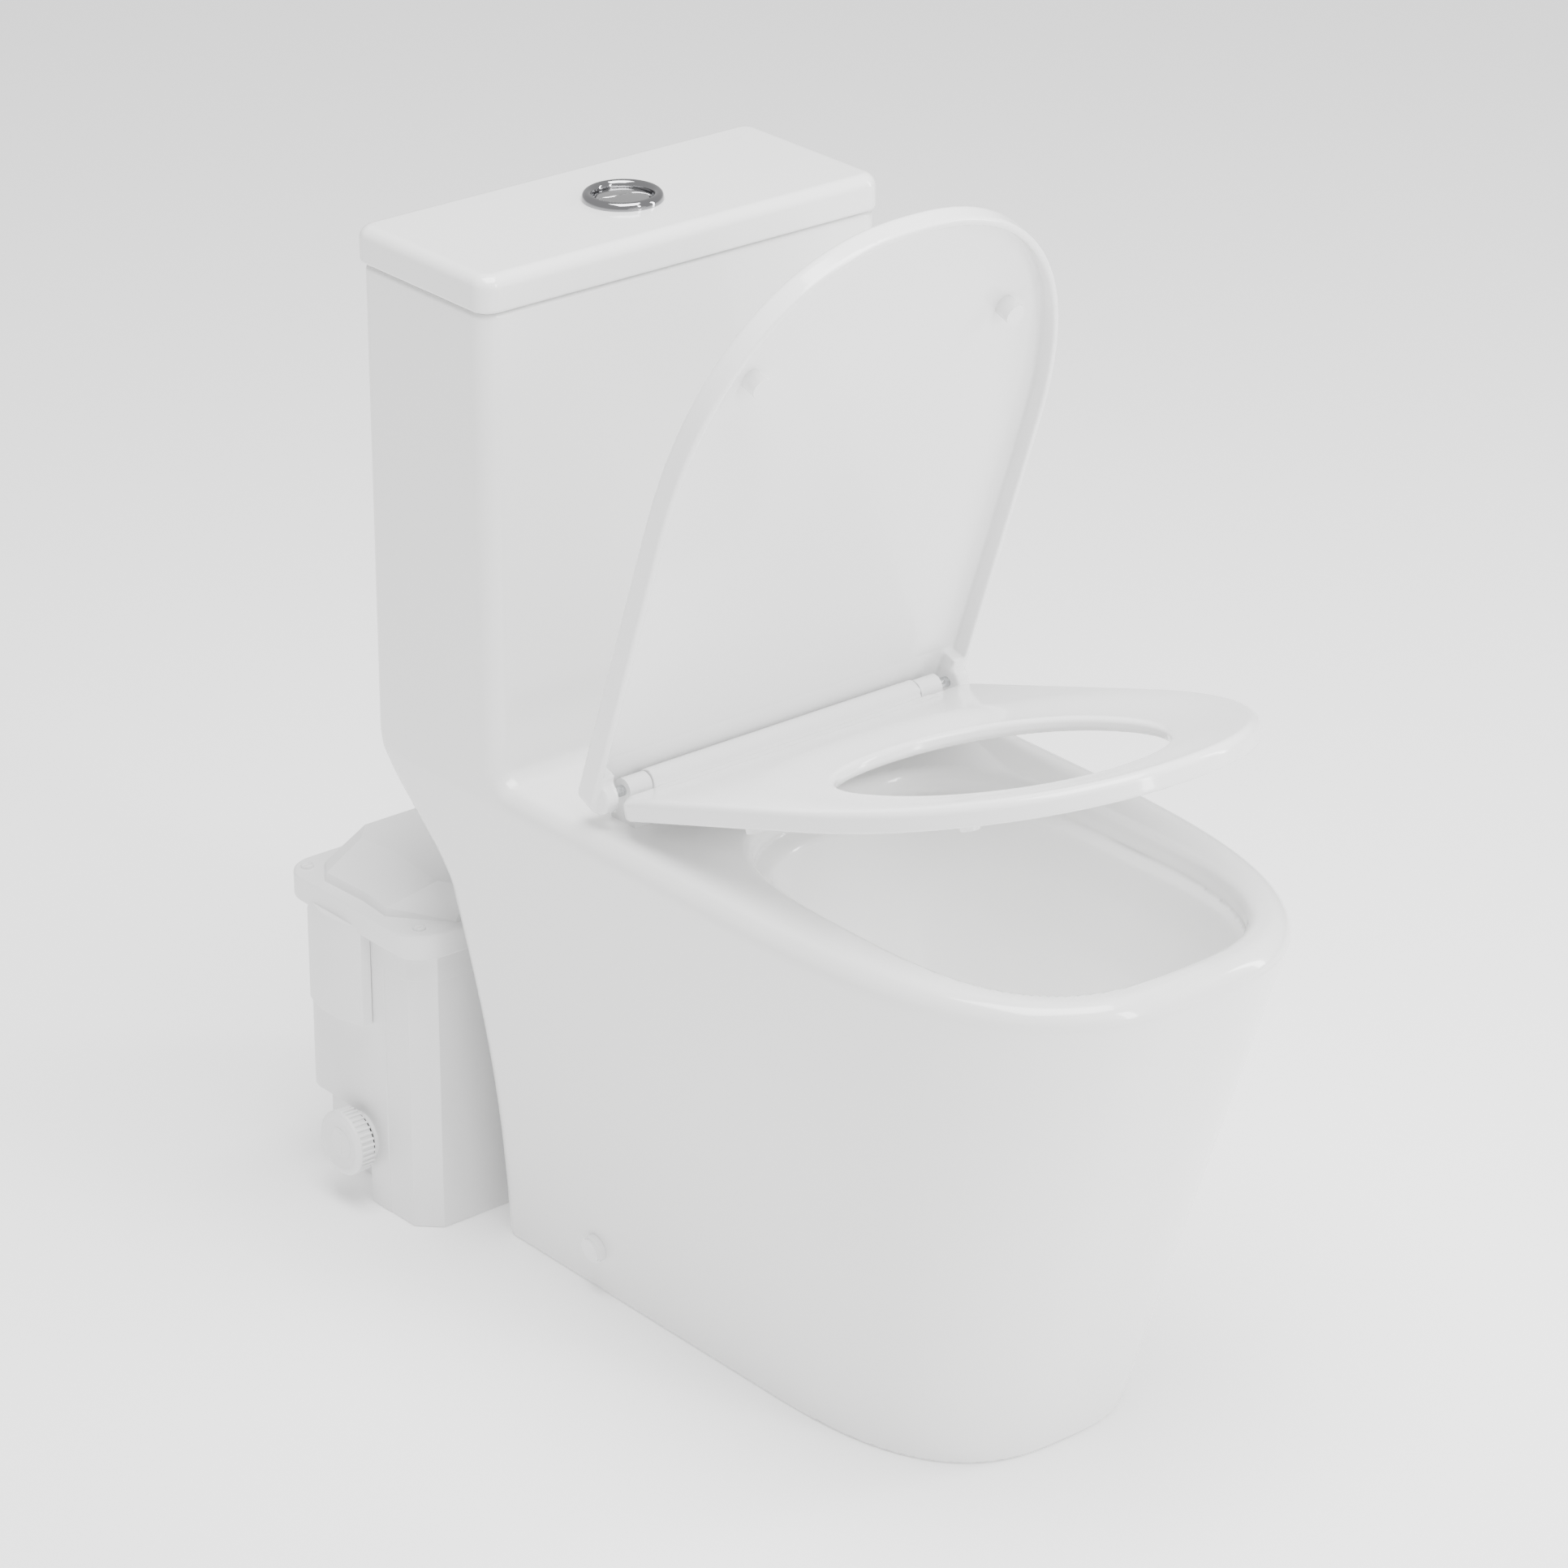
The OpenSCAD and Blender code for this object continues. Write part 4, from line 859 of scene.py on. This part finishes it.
def moulded(name, colour, roughness, grain, depth, coat=0.0):
    """Moulded plastic: an even colour with a fine surface grain."""
    material, shader = start_material(name, colour, roughness)
    shader.inputs["Coat Weight"].default_value = coat
    shader.inputs["Coat Roughness"].default_value = 0.06
    fac = add_noise(material, grain, 4.0)
    vary(material, shader.inputs["Roughness"], fac, roughness * 0.9, roughness * 1.12)
    dark = tuple(c * 0.985 for c in colour)
    tint(material, shader, add_noise(material, 14.0, 2.0), dark, colour)
    bump(material, shader, fac, depth)
    return material


def plated(name, colour, roughness):
    """Chrome plate with a trace of polishing marks."""
    material, shader = start_material(name, colour, roughness, 1.0)
    vary(material, shader.inputs["Roughness"], add_noise(material, 260.0), roughness * 0.8, roughness * 1.3)
    return material


def drawn_metal(name, colour, roughness):
    """Bare metal with fine lines along Z."""
    material, shader = start_material(name, colour, roughness, 1.0)
    fac = add_noise(material, 700.0, 3.0, (1.0, 1.0, 0.06))
    vary(material, shader.inputs["Roughness"], fac, roughness * 0.8, roughness * 1.3)
    bump(material, shader, fac, 0.00003)
    return material


def rubber():
    material, shader = start_material("rubber", (0.035, 0.035, 0.037), 0.62)
    fac = add_noise(material, 900.0, 4.0)
    tint(material, shader, add_noise(material, 40.0), (0.03, 0.03, 0.032), (0.045, 0.045, 0.047))
    bump(material, shader, fac, 0.00006)
    return material


MATERIALS = {
    "glazed_ceramic": glaze(),
    "seat_plastic": moulded("seat_plastic", (0.91, 0.91, 0.91), 0.16, 500.0, 0.000012, 0.35),
    "macerator_plastic": moulded("macerator_plastic", (0.84, 0.84, 0.84), 0.36, 1400.0, 0.00004),
    "valve_plastic": moulded("valve_plastic", (0.80, 0.81, 0.83), 0.32, 900.0, 0.00003),
    "grey_plastic": moulded("grey_plastic", (0.16, 0.19, 0.22), 0.36, 900.0, 0.00004),
    # chrome: base colour darkened to 0.30 as a painted dark reflection, standing in for dark surroundings
    # that the white studio lacks; the bezel and the chrome CAD nodes take it
    "chrome": plated("chrome", (0.30, 0.30, 0.31), 0.06),
    "rubber": rubber(),
    "steel": drawn_metal("steel", (0.56, 0.57, 0.58), 0.28),
    "brass": drawn_metal("brass", (0.72, 0.53, 0.24), 0.25),
}
# A lighter copy of the darkened chrome for the buttons' flat tops: painted reflection, its base colour set
# brighter because the tops face the light above
BUTTON_CHROME_PAINTED_REFLECTION = plated("button_chrome_painted_reflection", (0.50, 0.50, 0.505), 0.14)


def dress(piece, slot, material=None):
    piece.data.materials.clear()
    piece.data.materials.append(material or MATERIALS[slot])


def add(piece, body, slot, *nodes, material=None):
    """A finished piece: it rides on a body, takes its finish from a slot and may stand for CAD nodes."""
    dress(piece, slot, material)
    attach(piece, body)
    if nodes:
        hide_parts(*nodes)
    return piece


def dress_cad_nodes():
    """Gives every carried-over CAD node the material of its slot."""
    for part in frame["record"]["subparts"]:
        node = frame["nodes"][part["node"]]
        while len(node.material_slots) < 1:
            node.data.materials.append(None)
        for place in node.material_slots:
            place.link = "OBJECT"
            place.material = MATERIALS[part["material_slot"]]


# ---------- the object ----------

def build_toilet():
    add(sculpt("ceramic_casting", ceramic_field, (-182, -418, 0), (182, 290, 780), 4.0),
        "toilet", "glazed_ceramic", "pan_front", "pan_back", "bowl_and_trap",
        "cistern")
    add(sculpt("lid_casting", lid_field, (-183, 136, 771), (183, 294, 808), 2.5),
        "lid", "glazed_ceramic", "cistern_lid")
    add(build_bezel(), "lid", "chrome", "button_bezel")
    low, high = (-22, 190, 799), (22, 234, 812)
    # The button caps take the lighter chrome copy, a painted reflection of the light above
    add(sculpt("full_button_cap", button_field(-1), low, high, 0.7, 0.05), "full_button", "chrome",
        "full_flush_button", material=BUTTON_CHROME_PAINTED_REFLECTION)
    add(sculpt("half_button_cap", button_field(1), low, high, 0.7, 0.05), "half_button", "chrome",
        "half_flush_button", material=BUTTON_CHROME_PAINTED_REFLECTION)


def build_seat():
    add(sculpt("seat_moulding", seat_field, (-166, -446, -18), (166, 12, 11), 2.5, place=hinged(SEAT_ANGLE)),
        "seat", "seat_plastic", "seat_ring")
    cover = sculpt("cover_moulding", cover_field, (-175, -464, -14), (175, 14, 20), 2.5,
                   place=hinged(COVER_ANGLE))
    add(cover, "cover", "seat_plastic", "seat_cover")


def build_macerator():
    add(build_case(), "toilet", "macerator_plastic", "macerator_case")
    add(build_macerator_lid(), "toilet", "macerator_plastic", "macerator_lid")
    ducts = merge("side_covers", [build_duct(-1), build_duct(1)])
    add(ducts, "toilet", "macerator_plastic", "side_ducts")
    add(build_cap(-1), "left_cap", "macerator_plastic", "left_inlet_cap")
    add(build_cap(1), "right_cap", "macerator_plastic", "right_inlet_cap")
    add(build_lid_screws(), "toilet", "macerator_plastic", "lid_screws")


# ---------- studio ----------

FLOOR_GLOW = 0.3
FLOOR_HALF = 9.0
MIDDLE_Z = 0.45
WORLD_LIGHT = 0.8


def add_floor():
    mesh = bpy.data.meshes.new("floor")
    half = FLOOR_HALF
    corners = [(-half, -half, 0), (half, -half, 0), (half, half, 0), (-half, half, 0)]
    mesh.from_pydata(corners, [], [(0, 1, 2, 3)])
    floor = new_piece("floor", mesh)
    material, shader = start_material("floor", (0.98, 0.98, 0.98), 0.7)
    shader.inputs["Emission Color"].default_value = (1.0, 1.0, 1.0, 1.0)
    shader.inputs["Emission Strength"].default_value = FLOOR_GLOW
    floor.data.materials.append(material)


def add_area_light(name, place, target, size, power):
    data = bpy.data.lights.new(name, "AREA")
    data.shape = "RECTANGLE"
    data.size, data.size_y = size
    data.energy = power
    light = bpy.data.objects.new(name, data)
    light.location = place
    light.rotation_euler = (Vector(target) - Vector(place)).to_track_quat("-Z", "Y").to_euler()
    bpy.context.scene.collection.objects.link(light)


def add_studio():
    world = bpy.data.worlds.new("studio")
    world.use_nodes = True
    world.node_tree.nodes["Background"].inputs["Color"].default_value = (1, 1, 1, 1)
    world.node_tree.nodes["Background"].inputs["Strength"].default_value = WORLD_LIGHT
    bpy.context.scene.world = world
    middle = (0, 0, MIDDLE_Z)
    add_area_light("overhead", (-0.2, -0.6, 3.4), middle, (2.4, 2.4), 250)
    add_area_light("right_strip", (2.6, -1.6, 1.5), middle, (0.35, 2.2), 60)
    add_area_light("front_strip", (0.6, -3.4, 1.7), middle, (0.4, 2.0), 62)


build_toilet()
build_seat()
build_macerator()
dress_cad_nodes()
add_floor()
add_studio()
